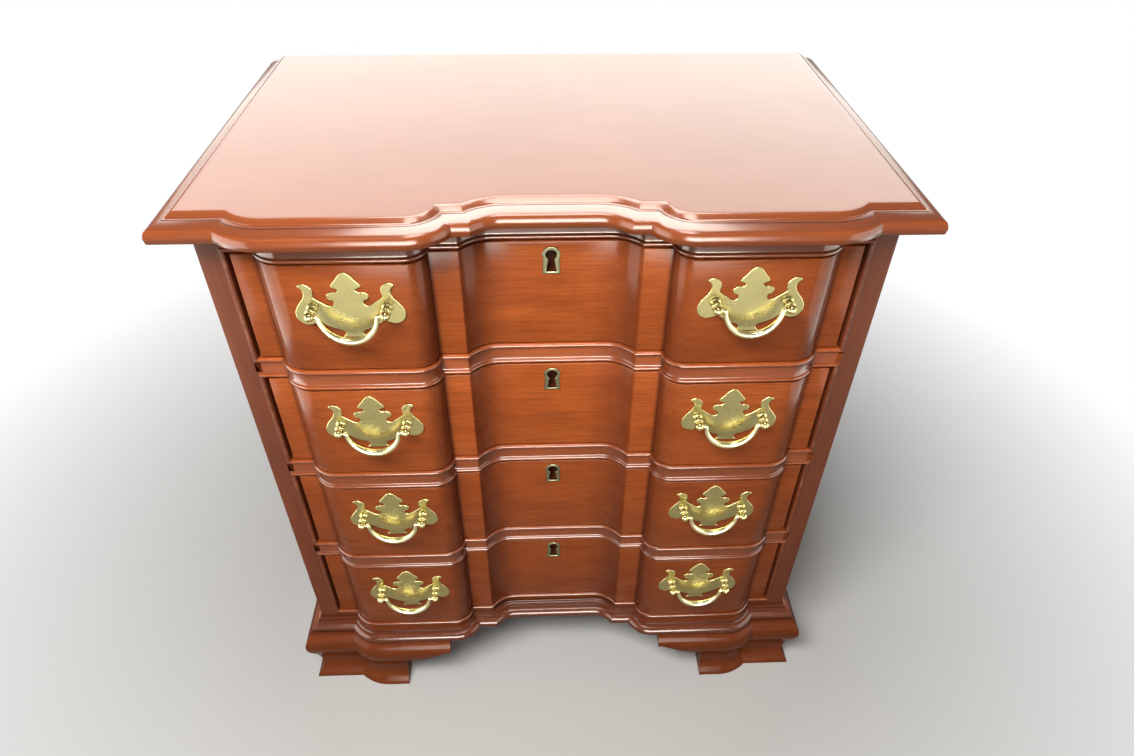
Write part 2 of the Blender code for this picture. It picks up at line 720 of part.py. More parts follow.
def drawer_front_mesh(bench):
    """The blocked front, with its keyhole pocket and the groove for the drawer bottom."""
    face = case_front(DRAWER_HALF)
    plan = face + [(DRAWER_HALF, DRAWER_FRONT_BACK), (-DRAWER_HALF, DRAWER_FRONT_BACK)]
    ends = (DRAWER_FOOT_GAP, DRAWER_FOOT_GAP + DRAWER_FRONT_HEIGHT)
    stock = loft_mesh("drawer_front", [[(x, y, z) for x, y in plan] for z in ends])
    model = bench.cutter("drawer_front_stock", stock)
    middle = keyhole_middle()
    upright = (QUARTER_TURN, 0, 0)
    pocket_depth = 2 * (KEYHOLE_THICKNESS - KEYHOLE_PROUD + SEAT_GAP)
    pocket = outline_mesh("pocket", rim_outline(SEAT_GAP), pocket_depth)
    combine(model, bench.cutter("keyhole_pocket", pocket, middle, upright), "DIFFERENCE")
    bore = outline_mesh("bore", slot_outline(), 2 * SLOT_DEPTH)
    combine(model, bench.cutter("keyhole_bore", bore, middle, upright), "DIFFERENCE")
    low = (-GROOVE_HALF, DRAWER_FRONT_BACK - GROOVE_DEPTH, GROOVE_FLOOR)
    high = (GROOVE_HALF, DRAWER_FRONT_BACK + GROOVE_DEPTH, GROOVE_TOP)
    combine(model, bench.cutter("front_groove", box_mesh("front_groove", low, high)), "DIFFERENCE")
    return settled_mesh(model)


def drawer_side_mesh(hand):
    """One drawer side: a board with a groove for the bottom, drawn in (x, z) and given its length."""
    line = [
        (BOX_HALF, SEAT_GAP),
        (BOX_INNER, SEAT_GAP),
        (BOX_INNER, GROOVE_FLOOR),
        (GROOVE_HALF, GROOVE_FLOOR),
        (GROOVE_HALF, GROOVE_TOP),
        (BOX_INNER, GROOVE_TOP),
        (BOX_INNER, DRAWER_SIDE_HEIGHT),
        (BOX_HALF, DRAWER_SIDE_HEIGHT),
    ]
    length = BOX_BACK - DRAWER_FRONT_BACK - SEAT_GAP
    return outline_mesh("drawer_side", [(hand * x, z) for x, z in line], length)


def drawer_back_mesh():
    half = BOX_INNER - SEAT_GAP
    low = (-half, BOX_BACK - DRAWER_BACK_THICKNESS, GROOVE_TOP)
    return box_mesh("drawer_back", low, (half, BOX_BACK, DRAWER_SIDE_HEIGHT))


def drawer_bottom_mesh():
    """The bottom slides into the grooves from behind, under the back."""
    half = GROOVE_HALF - SEAT_GAP
    low = (-half, DRAWER_FRONT_BACK - GROOVE_DEPTH + SEAT_GAP, GROOVE_FLOOR + SEAT_GAP)
    return box_mesh("drawer_bottom", low, (half, BOX_BACK, GROOVE_TOP - SEAT_GAP))


def make_drawers(bench):
    brass = pull_meshes(bench)
    front = drawer_front_mesh(bench)
    sides = {-1: drawer_side_mesh(-1), 1: drawer_side_mesh(1)}
    back = drawer_back_mesh()
    bottom = drawer_bottom_mesh()
    side_y = (DRAWER_FRONT_BACK + SEAT_GAP + BOX_BACK) / 2
    for number in range(1, DRAWER_COUNT + 1):
        name = f"drawer_{number}"
        slide = bench.empty(name, (0, 0, opening_floor(number)), bench.frame)
        bench.add(name + "_front", front, bench.drawer_wood, parent=slide)
        for word, hand in (("left", -1), ("right", 1)):
            bench.add(f"{name}_{word}_side", sides[hand], bench.inner_wood, (0, side_y, 0),
                      (QUARTER_TURN, 0, 0), slide)
        bench.add(name + "_back", back, bench.inner_wood, parent=slide)
        bench.add(name + "_bottom", bottom, bench.inner_wood, parent=slide)
        make_brasses(bench, name, slide, brass)


# Brasses

def plate_marks():
    """Batwing plate as (x, z, kind) marks from the post line, right half mirrored to the left.

    They are drawn as shares of the half width across, of the rise above the posts and the fall below.
    """
    drawn = [
        (0.088, 0.923, "AUTO"),
        (0.164, 0.794, "AUTO"),
        (0.260, 0.611, "VECTOR"),
        (0.168, 0.524, "AUTO"),
        (0.260, 0.452, "VECTOR"),
        (0.380, 0.331, "AUTO"),
        (0.273, 0.151, "AUTO"),
        (0.358, 0.049, "AUTO"),
        (0.507, 0.205, "AUTO"),
        (0.650, 0.339, "VECTOR"),
        (0.625, 0.539, "AUTO"),
        (0.755, 0.723, "AUTO"),
        (0.860, 0.646, "VECTOR"),
        (0.792, 0.462, "AUTO"),
        (0.908, 0.129, "AUTO"),
        (1.000, -0.159, "AUTO"),
        (0.851, -0.487, "AUTO"),
        (0.593, -0.446, "VECTOR"),
        (0.411, -0.634, "AUTO"),
        (0.164, -0.801, "VECTOR"),
        (0.210, -1.000, "VECTOR"),
    ]
    right = []
    for across, up, kind in drawn:
        z = up * (PLATE_RISE if up > 0 else PLATE_FALL)
        right.append((across * PLATE_HALF, z, kind))
    left = [(-x, z, kind) for x, z, kind in reversed(right)]
    return [(0.0, PLATE_RISE, "AUTO")] + right + left


def post_profile():
    """A turned post, from the top of its ball down to the plate, as (radius, height)."""
    flange = PLATE_THICKNESS
    line = [(0.0, BALL_Z + POST_BALL)]
    for degrees in (45, 90, 125):
        angle = math.radians(degrees)
        line.append((POST_BALL * math.sin(angle), BALL_Z + POST_BALL * math.cos(angle)))
    line += [(POST_NECK, BALL_Z - POST_COLLAR), (POST_NECK, flange + POST_FLARE), (POST_FLANGE, flange)]
    return line + [(POST_FLANGE, 0.0), (0.0, 0.0)]


def pull_meshes(bench):
    """The plate with its posts, the bail, and the keyhole rim: one mesh each, used over and over."""
    plate_mesh = outline_mesh("pull_plate", plate_marks(), PLATE_THICKNESS, True)
    plate = bench.cutter("plate_stock", plate_mesh)
    post = turned_mesh("pull_post", post_profile(), POST_SIDES)
    ends = [("left", -POST_SPACING / 2, POST_BALL), ("right", POST_SPACING / 2, -POST_BALL)]
    for word, x, _ in ends:
        combine(plate, bench.cutter(f"{word}_post_stock", post, (x, 0, 0), parent=plate), "UNION")
    for word, x, inward in ends:
        drill = bench.cutter(f"{word}_pin_hole", pin_hole_mesh(), (x + inward, 0, BALL_Z),
                             (0, QUARTER_TURN, 0), plate)
        combine(plate, drill, "DIFFERENCE")
    rim_mesh = outline_mesh("keyhole_rim", rim_outline(0.0), KEYHOLE_THICKNESS)
    rim = bench.cutter("rim_stock", rim_mesh)
    hole = outline_mesh("rim_hole", slot_outline(), 2 * KEYHOLE_THICKNESS)
    combine(rim, bench.cutter("rim_hole", hole), "DIFFERENCE")
    return settled_mesh(plate), bail_mesh(), settled_mesh(rim)


def pin_hole_mesh():
    """A drill for the bail's pin, long enough to pass the middle of the ball."""
    bore = BAIL_PIN + PIN_CLEARANCE

    def build(shape):
        bmesh.ops.create_cone(shape, cap_ends=True, segments=POST_SIDES, radius1=bore, radius2=bore,
                              depth=2 * (POST_BALL + PIN_CLEARANCE))
    return mesh_from("pin_hole", build)


def bail_mesh():
    """The bail: a pin into each post and a bow that thickens towards its middle, hanging from the pivot."""
    pin_end = POST_SPACING / 2 - PIN_CLEARANCE
    shoulder = BAIL_HALF_WIDTH + BAIL_END
    angles = [math.pi * i / BAIL_STEPS for i in range(1, BAIL_STEPS)]
    bow = []
    for a in angles:
        radius = BAIL_END + BAIL_SWELL * math.sin(a)
        bow.append((BAIL_HALF_WIDTH * math.cos(a), -BAIL_DROP * math.sin(a), radius))
    start = [(pin_end, 0, BAIL_PIN), (shoulder, 0, BAIL_PIN), (BAIL_HALF_WIDTH, -BAIL_END, BAIL_END)]
    end = [(-x, z, radius) for x, z, radius in reversed(start)]
    drawn = bpy.data.curves.new("bail", "CURVE")
    drawn.dimensions = "3D"
    drawn.bevel_depth = 1.0
    drawn.bevel_resolution = 1
    drawn.use_fill_caps = True
    route = start + bow + end
    spline = drawn.splines.new("POLY")
    spline.points.add(len(route) - 1)
    for point, (x, z, radius) in zip(spline.points, route):
        point.co = (x, 0, z, 1)
        point.radius = radius
    return mesh_of_curve(drawn)


def make_brasses(bench, name, slide, brass):
    plate, bail, rim = brass
    upright = (QUARTER_TURN, 0, 0)
    plate_y = PULL_Y - PLATE_THICKNESS / 2
    for word, hand in (("left", -1), ("right", 1)):
        x = hand * PULL_X
        bench.add(f"{name}_{word}_pull", plate, bench.brass, (x, plate_y, PULL_Z), upright, slide)
        bench.add(f"{name}_{word}_bail", bail, bench.brass, (x, BAIL_Y, PULL_Z), parent=slide)
    key_x, key_y, key_z = keyhole_middle()
    rim_y = key_y - KEYHOLE_PROUD + KEYHOLE_THICKNESS / 2
    bench.add(name + "_keyhole", rim, bench.brass, (key_x, rim_y, key_z), upright, slide)


def main():
    clear_scene()
    bench = Bench()
    make_sides(bench)
    make_rails(bench)
    make_panels(bench)
    make_top(bench)
    make_base(bench)
    make_front_feet(bench)
    make_rear_feet(bench)
    make_drawers(bench)


main()
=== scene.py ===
"""Dresses the packed block-front chest: fine mouldings, grained mahogany, polished brass and a pale studio.

Metres, in the packed part's own frame: +Z up, the drawers face -Y, and the floor is at z = 0.
A reach is a distance forward of the stile face, or outward from the case.
Wear, light and shade marks wood as lighter where it is above 0, where it is rubbed and where a highlight is
painted on crests and edges, and as dark where it is below, with glaze and with painted shade in hollows,
quirks, crevices and undersides.
"""
import json
from math import acos, atan2, cos, pi, radians, sin, tau

import bmesh
import bpy
from bpy.props import FloatProperty, FloatVectorProperty, PointerProperty
from mathutils import Matrix, Vector


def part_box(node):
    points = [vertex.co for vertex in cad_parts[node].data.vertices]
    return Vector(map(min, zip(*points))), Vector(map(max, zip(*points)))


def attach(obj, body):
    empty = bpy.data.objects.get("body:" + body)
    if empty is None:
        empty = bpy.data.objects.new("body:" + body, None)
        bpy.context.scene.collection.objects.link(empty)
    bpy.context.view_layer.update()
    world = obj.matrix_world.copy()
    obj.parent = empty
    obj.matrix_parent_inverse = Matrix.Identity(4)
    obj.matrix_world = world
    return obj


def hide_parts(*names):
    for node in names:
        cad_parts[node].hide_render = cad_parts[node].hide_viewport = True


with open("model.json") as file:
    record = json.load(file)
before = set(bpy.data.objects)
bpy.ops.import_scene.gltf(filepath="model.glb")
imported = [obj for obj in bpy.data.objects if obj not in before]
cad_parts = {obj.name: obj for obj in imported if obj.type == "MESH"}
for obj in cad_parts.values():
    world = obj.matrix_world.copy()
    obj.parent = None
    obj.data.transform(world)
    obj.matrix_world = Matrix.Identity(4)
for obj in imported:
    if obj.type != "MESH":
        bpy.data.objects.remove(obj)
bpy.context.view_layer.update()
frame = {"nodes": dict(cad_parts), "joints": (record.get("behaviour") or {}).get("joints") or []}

bl_info = {
    "name": "Block-front chest",
    "version": (1, 0, 0),
    "blender": (4, 5, 0),
    "location": "3D View > Sidebar > Chest",
    "description": "Makes a block-front bedside chest around its packed solids",
    "category": "Add Mesh",
}

DRAWERS = (1, 2, 3, 4)
HANDS = (("left", -1), ("right", 1))
PULLS = [(number, word) for number in DRAWERS for word, _ in HANDS]
QUARTER_TURN = pi / 2
CURVE_STEPS = 10
SMOOTH_ANGLE = radians(32)
IMAGE_WIDTH = 1134
SENSOR_WIDTH = 36.0
SEAM = 0.00012
WELD = 0.000005
FLAT_NORMAL = 0.999


# Sizes, colours and settings

def size(name, description, default):
    return FloatProperty(name=name, description=description, default=default, unit="LENGTH", precision=5)


def colour(name, description, default):
    return FloatVectorProperty(name=name, description=description, default=default, size=3, subtype="COLOR",
                               min=0.0, max=1.0)


def angle(name, description, degrees):
    return FloatProperty(name=name, description=description, default=radians(degrees), subtype="ANGLE")


def share(name, description, default):
    return FloatProperty(name=name, description=description, default=default, min=0.0, soft_max=1.0,
                         subtype="FACTOR")


def power(name, description, watts):
    return FloatProperty(name=name, description=description, default=watts, min=0.0, unit="POWER")


class ChestPlan(bpy.types.PropertyGroup):
    """Plan of the blocked front, from the middle outwards"""
    recess_flat: size("Recess flat", "Half width of the recess's flat", 0.055)
    recess_curve: size("Recess curve", "Width of the recess's hollow sides", 0.033)
    strip_width: size("Strip", "Flat strip between recess and block", 0.028)
    inner_curve: size("Inner round", "Width of a block's inner round", 0.022)
    outer_curve: size("Outer round", "Width of a block's outer round", 0.030)
    outer_flat: size("Outer flat", "Flat strip beside the stile", 0.027)
    recess_depth: size("Recess depth", "Recess behind the stile face", 0.017)
    block_rise: size("Block rise", "Blocks in front of the stile face", 0.0225)
    stile_width: size("Stile", "Width of a front stile", 0.0265)
    stile_depth: size("Stile depth", "Depth of a front stile", 0.022)
    side_thickness: size("Side", "Thickness of a case side", 0.019)


class ChestMouldings(bpy.types.PropertyGroup):
    """Beads, the moulded top, the base and the feet"""
    bead_width: size("Bead", "Width of the bead round an opening", 0.005)
    bead_rise: size("Bead rise", "How far a bead stands proud", 0.0026)
    bead_cove: size("Bead cove", "Width of the hollow outside a bead", 0.0023)
    top_flat: size("Top flat", "Reach of the top's flat over the stiles", 0.0073)
    top_block: size("Top at blocks", "Reach of the top's flat over the blocks", 0.0238)
    top_strip: size("Top at strips", "Reach of the top's flat over the strips", 0.0008)
    top_recess: size("Top at recess", "Reach of the top's flat over the recess", -0.0137)
    top_spread: size("Top spread", "How much wider the top's blocks are", 0.013)
    base_recess: size("Base recess", "Base's recess behind the stile face", 0.0140)
    base_block: size("Base block", "Base's blocks in front of the stile face", 0.0210)
    foot_width: size("Front foot", "Width of a front foot", 0.113)
    foot_block: size("Foot block", "Feet's blocks in front of the stile face", 0.0163)
    bracket: size("Front bracket", "Length of a bracket along the front", 0.069)
    side_foot: size("Side foot", "Width of a foot along the side", 0.095)
    side_bracket: size("Side bracket", "Length of a bracket along the side", 0.058)
    bracket_spring: size("Bracket spring", "Height where a bracket leaves its foot", 0.058)
    bracket_tip: size("Bracket tip", "Thickness of a bracket at its tip", 0.0105)
    foot_stock: size("Foot stock", "Thickness behind a foot's face", 0.010)
    rear_board: size("Rear board", "Thickness of a rear foot's board", 0.019)


class ChestDrawers(bpy.types.PropertyGroup):
    """Drawer fronts and their keyholes"""
    edge: size("Edge", "Radius of a front's softened edges", 0.0009)
    keyhole_head: size("Keyhole head", "Radius of the rim's round head", 0.0090)
    keyhole_skirt: size("Keyhole skirt", "Half width of the rim's foot", 0.0090)
    slot_head: size("Slot head", "Radius of the key slot's head", 0.0054)
    slot_skirt: size("Slot skirt", "Half width of the key slot's foot", 0.0052)
    slot_margin: size("Slot margin", "Rim below the key slot", 0.0025)
    slot_depth: size("Slot depth", "Depth of the key slot", 0.012)
    rim_bevel: size("Rim bevel", "Softened edge of the keyhole rim", 0.0006)


class ChestBrasses(bpy.types.PropertyGroup):
    """Pull plates, posts and bails"""
    post_spacing: size("Post spacing", "Distance between a pull's posts", 0.0706)
    post_ball: size("Post ball", "Radius of a post's ball", 0.0047)
    plate_thickness: size("Plate", "Thickness of a pull plate", 0.0015)
    plate_half: size("Plate half width", "Half the width of a pull plate", 0.0523)
    plate_rise: size("Plate rise", "Height of a plate's crest above the posts", 0.039)
    plate_fall: size("Plate fall", "Depth of a plate's tail below the posts", 0.0347)
    plate_bevel: size("Plate bevel", "Width of the bevel round a plate", 0.0006)
    bail_half: size("Bail half width", "Half the width of a bail at its arms", 0.0276)
    bail_drop: size("Bail drop", "Depth of a bail's bow below its pins", 0.0295)
    bail_end: size("Bail arm", "Radius of a bail near its pins", 0.0022)
    bail_swell: size("Bail swell", "How much thicker a bail is in the middle", 0.0015)
    bail_pin: size("Bail pin", "Radius of a bail's pins", 0.0016)
    pin_room: size("Pin room", "Clearance round a bail's pin", 0.0004)


class ChestFinishes(bpy.types.PropertyGroup):
    """Colours of the woods and the brass"""
    wood_light: colour("Light mahogany", "Orange brown of the bare flats", (0.64, 0.145, 0.028))
    wood_mid: colour("Mahogany", "Red brown of most of the case", (0.47, 0.097, 0.018))
    # Also painted as shade in hollows, quirks and undersides
    wood_dark: colour("Dark mahogany", "Stain in hollows and grain", (0.080, 0.018, 0.008))
    # Also painted on crests and edges as a highlight
    wood_worn_and_lit: colour("Worn edge", "Wood where edges have rubbed through", (0.52, 0.22, 0.11))
    poplar_light: colour("Pale poplar", "Pale inner wood", (0.56, 0.40, 0.22))
    poplar_dark: colour("Poplar grain", "Grain of the inner wood", (0.36, 0.24, 0.12))
    brass: colour("Brass", "Pull plates", (0.55, 0.49, 0.22))
    brass_dull: colour("Dull brass", "Handled patches of the plates", (0.49, 0.435, 0.195))
    # Bright brass and gripped brass are paler copies of the plates' brass, which paint the bails' and posts'
    # sheen into their colour
    brass_bright: colour("Bright brass", "Bails and posts", (0.85, 0.80, 0.50))
    brass_grip: colour("Gripped brass", "Handled patches of the bails and posts", (0.78, 0.70, 0.38))
    brass_aged: colour("Aged brass", "Keyhole rims", (0.32, 0.30, 0.18))


class ChestStage(bpy.types.PropertyGroup):
    """Floor, lights and camera"""
    floor: colour("Floor", "Pale floor", (0.66, 0.645, 0.61))
    sheen: colour("Floor sheen", "The floor as polished things reflect it", (0.42, 0.39, 0.34))
    shade: colour("Floor bounce", "The floor as its bounced light shows it", (0.20, 0.17, 0.14))
    sky: share("Sky", "Even white light all round", 0.10)
    far: share("Surroundings", "Surroundings as polished things reflect them", 0.35)
    key: power("Soft box", "Soft box over the front", 30.5)
    fill: power("Fill", "Soft light from the front", 9.5)
    panel: power("Panel", "Panel that the mouldings reflect", 95.0)
    card: power("Bright card", "Card that the top reflects", 37.0)
    overhead: power("Overhead card", "Card that upward rounds reflect", 56.0)
    side_card: power("Side cards", "Cards that the rounds reflect", 13.0)
    lens: FloatProperty(name="Focal length", description="Focal length in pixels of the picture",
                        default=776.47, subtype="PIXEL")
    camera: FloatVectorProperty(name="Camera", description="Camera from the middle of the stile face's foot",
                                default=(-0.01103, -0.63666, 1.09612), size=3, subtype="TRANSLATION",
                                unit="LENGTH")
    pitch: angle("Pitch", "How far the camera looks down", 40.212)
    yaw: angle("Yaw", "How far the camera turns to the right", 2.397)
    roll: angle("Roll", "How far the camera leans", -0.478)


# Places read from the solids

class Places:
    """The chest's settings, and where its faces and openings are."""

    def __init__(self, scene):
        self.plan = scene.chest_plan
        self.mouldings = scene.chest_mouldings
        self.drawers = scene.chest_drawers
        self.colours = scene.chest_finishes
        low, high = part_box("right_side")
        self.half_case = high.x
        self.foot_z = low.z
        self.crown_z = high.z
        self.back_y = high.y
        self.face_y = low.y + self.mouldings.bead_rise
        self.half_opening = self.half_case - self.plan.stile_width
        self.base_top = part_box("base_moulding_front")[1].z

    def opening(self, number):
        """Floor and ceiling of a drawer opening. Drawer 1 is the top one."""
        under = "bottom_rail" if number == len(DRAWERS) else f"drawer_rail_{number}"
        over = "top_rail" if number == 1 else f"drawer_rail_{number - 1}"
        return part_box(under)[1].z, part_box(over)[0].z

    def front(self, half):
        """A whole front in world (x, y), left to right, from its right half of (x, reach)."""
        right = [(x, self.face_y - reach) for x, reach in half]
        return [(-x, y) for x, y in reversed(right[1:])] + right


def pivot(number, word):
    """Where a bail's pins turn."""
    name = f"drawer_{number}_{word}_bail_swing"
    return Vector(next(joint["pos_m"] for joint in frame["joints"] if joint["name"] == name))


# The blocked line and the profiles carried along it

def turns(sweep, steps):
    """Even turns from 0 to a sweep."""
    return [sweep * i / steps for i in range(steps + 1)]


def arc_radius(run, rise):
    return run / sin(2 * atan2(rise, run))


def arc(x, reach, radius, rise, across, ahead):
    """An arc that leaves a flat at (x, reach) and rises by a height, across and ahead by their signs."""
    return [(x + across * radius * sin(a), reach + ahead * radius * (1 - cos(a)))
            for a in turns(acos(1 - rise / radius), CURVE_STEPS)]


class BlockedLine:
    """A recess in the middle, then a strip, a block and a flat, given by their reaches."""

    def __init__(self, chest, recess, strip, block, corner, spread=0.0):
        plan = chest.plan
        ease = spread / 2
        self.recess, self.block, self.corner = recess, block, corner
        self.rises = (strip - recess, block - strip, block - corner)
        self.recess_x = plan.recess_flat - spread
        self.block_start = plan.recess_flat + plan.recess_curve + plan.strip_width + plan.inner_curve - ease
        self.block_stop = chest.half_opening - plan.outer_flat - plan.outer_curve + ease
        runs = (plan.recess_curve + ease, plan.inner_curve + ease, plan.outer_curve + ease)
        self.radii = [arc_radius(run, rise) for run, rise in zip(runs, self.rises)]

    def block_outside(self, reach):
        return arc(self.block_stop, self.block + reach, self.radii[2] + reach, self.rises[2], 1, -1)

    def half(self, reach, end_x):
        """Right half from the middle outwards, moved forward by a reach."""
        hollow = arc(self.recess_x, self.recess + reach, self.radii[0] - reach, self.rises[0], 1, 1)
        inside = arc(self.block_start, self.block + reach, self.radii[1] + reach, self.rises[1], -1, -1)
        return ([(0.0, self.recess + reach)] + hollow + inside[::-1] + self.block_outside(reach)
                + [(end_x, self.corner + reach)])


def case_line(chest):
    return BlockedLine(chest, -chest.plan.recess_depth, 0.0, chest.plan.block_rise, 0.0)


BEAD_SWEEP = radians(130)


def bead_section(mouldings):
    """A bead and the hollow beside it as (distance from the opening, reach, wear and painted light). The
    crest is lighter, partly rubbed and partly painted highlight, and the hollow is painted shade.
    """
    half = mouldings.bead_width / 2
    section = [(half - half * cos(a), mouldings.bead_rise * sin(a), 1.1 * sin(a) ** 2 - 0.1)
               for a in turns(BEAD_SWEEP, 10)]
    start, reach, _ = section[-1]
    return section + [(start + mouldings.bead_cove * (1 - cos(a)), reach * (1 - sin(a)),
                       -0.6 * cos(a * 0.9)) for a in turns(QUARTER_TURN, 5)[1:]]


def smooth_marks(marks, steps):
    """Points on a smooth curve through marks of any number of values."""
    padded = [marks[0]] + list(marks) + [marks[-1]]
    points = []
    for p, q, r, s in zip(padded, padded[1:], padded[2:], padded[3:]):
        for i in range(steps):
            t = i / steps
            points.append(tuple(
                0.5 * (2 * b + (c - a) * t + (2 * a - 5 * b + 4 * c - d) * t * t
                       + (3 * b - a - 3 * c + d) * t ** 3)
                for a, b, c, d in zip(p, q, r, s)))
    return points + [tuple(marks[-1])]


# Meshes

class Joinery:
    """Closed shells gathered into one mesh, with each point's mark of wear, painted highlight and painted
    shade.
    """

    def __init__(self):
        self.shape = bmesh.new()
        self.wear_light_and_shade = self.shape.verts.layers.float.new("wear_light_and_shade")

    def loft(self, sections, wear_light_and_shade=(), by_loop=False):
        """A shell through like closed loops, capped at both ends, with a mark of wear, painted highlight and
        painted shade for each point or each loop.
        """
        loops = []
        for i, section in enumerate(sections):
            loop = [self.shape.verts.new(point) for point in section]
            for j, vert in enumerate(loop):
                vert[self.wear_light_and_shade] = wear_light_and_shade[i if by_loop else j] if wear_light_and_shade else 0.0
            loops.append(loop)
        count = len(loops[0])
        for near, far in zip(loops, loops[1:]):
            for j in range(count):
                k = (j + 1) % count
                self.shape.faces.new((near[j], near[k], far[k], far[j]))
        self.shape.faces.new(loops[0])
        self.shape.faces.new(loops[-1])
        return self

    def board(self, low, high):
        """A plain sawn board."""
        x, y, z = zip(low, high)
        return self.loft([[(x[0], y[0], h), (x[1], y[0], h), (x[1], y[1], h), (x[0], y[1], h)] for h in z])

    def mesh(self, name):
        bmesh.ops.recalc_face_normals(self.shape, faces=self.shape.faces)
        return softened(baked(self.shape, name))


def baked(shape, name):
    """The mesh of a finished shape, after which the shape goes."""
    made = bpy.data.meshes.new(name)
    shape.to_mesh(made)
    shape.free()
    return made


def softened(mesh):
    """Smooth shading that keeps the sharp edges."""
    mesh.shade_smooth()
    mesh.set_sharp_from_angle(angle=SMOOTH_ANGLE)
    return mesh


def fitted(made, **settings):
    """A new thing with its settings made."""
    for key, value in settings.items():
        setattr(made, key, value)
    return made


def carrier(name, data):
    made = bpy.data.objects.new(name, data)
    bpy.context.scene.collection.objects.link(made)
    return made


def settled(source):
    """The mesh of an object with its modifiers carried out, after which the object goes."""
    bpy.context.view_layer.update()
    ready = source.evaluated_get(bpy.context.evaluated_depsgraph_get())
    made = bpy.data.meshes.new_from_object(ready)
    bpy.data.objects.remove(source)
    return made


def welded(mesh):
    shape = bmesh.new()
    shape.from_mesh(mesh)
    bmesh.ops.remove_doubles(shape, verts=shape.verts, dist=WELD)
    bmesh.ops.recalc_face_normals(shape, faces=shape.faces)
    shape.to_mesh(mesh)
    shape.free()
    return softened(mesh)


def cut(mesh, cutters):
    """The mesh less each of the cutter meshes."""
    stock = carrier("stock", mesh)
    tools = [carrier("tool", cutter) for cutter in cutters]
    for tool in tools:
        fitted(stock.modifiers.new("cut", "BOOLEAN"), operation="DIFFERENCE", object=tool)
    made = settled(stock)
    for tool in tools:
        bpy.data.objects.remove(tool)
    return softened(made)


def flat_curve(name, outlines, thickness, bevel=0.0):
    """Flat outlines, holes among them, filled to a thickness both ways from their plane."""
    drawn = fitted(bpy.data.curves.new(name, "CURVE"), dimensions="2D", fill_mode="BOTH", bevel_resolution=2,
                   extrude=thickness / 2 - bevel, bevel_depth=bevel, offset=-bevel)
    for outline in outlines:
        spline = drawn.splines.new("POLY")
        spline.points.add(len(outline) - 1)
        for point, place in zip(spline.points, outline):
            point.co = (*place, 0, 1)
        spline.use_cyclic_u = True
    made = welded(settled(carrier(name, drawn)))
    for face in made.polygons:
        face.use_smooth = abs(face.normal.z) < FLAT_NORMAL
    return made


def upright(mesh, place):
    """A mesh drawn flat, stood up to face the front at a place."""
    mesh.transform(Matrix.Translation(place) @ Matrix.Rotation(QUARTER_TURN, 4, "X"))
    return mesh


def turned(name, profile, sides):
    """A profile of (radius, height), from tip to foot, turned about Z."""
    shape = bmesh.new()
    rows = []
    for radius, height in profile:
        if radius == 0:
            rows.append([shape.verts.new((0, 0, height))] * sides)
        else:
            rows.append([shape.verts.new((radius * cos(a), radius * sin(a), height))
                         for a in turns(tau, sides)[:-1]])
    for near, far in zip(rows, rows[1:]):
        for i in range(sides):
            j = (i + 1) % sides
            shape.faces.new(list(dict.fromkeys((near[i], near[j], far[j], far[i]))))
    bmesh.ops.recalc_face_normals(shape, faces=shape.faces)
    return baked(shape, name)


def add_piece(name, mesh, finish, body, slot, *nodes):
    """Puts a piece in the scene, in place of the solids that it stands for."""
    mesh.materials.clear()
    mesh.materials.append(finish)
    piece = carrier(name, mesh)
    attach(piece, body)
    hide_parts(*nodes)
    return piece


def add_case(name, stock, finish, node):
    add_piece(name, stock.mesh(name), finish, "case", "case_mahogany", node)


def dress_solid(node, finish, bevel):
    """Gives a solid that is already right its finish and softened edges."""
    solid = frame["nodes"][node]
    solid.data.materials.clear()
    solid.data.materials.append(finish)
    fitted(solid.modifiers.new("softened edges", "BEVEL"), width=bevel, segments=2, limit_method="ANGLE",
           harden_normals=False)


# Finishes

def feed(socket, value):
    """Links a socket to a node's output, or sets its value. A colour comes without its alpha."""
    if isinstance(value, bpy.types.NodeSocket):
        socket.id_data.links.new(value, socket)
    else:
        socket.default_value = (*value, 1.0) if socket.type == "RGBA" else value


def wire(tree, kind, output, inputs=None, **settings):
    """Adds a node with its settings and inputs to a tree, and gives its output."""
    node = fitted(tree.nodes.new(kind), **settings)
    for key, value in (inputs or {}).items():
        feed(node.inputs[key], value)
    return node.outputs[output]


# How far apart the noise of two pieces can lie
PIECE_SPREAD = 40.0


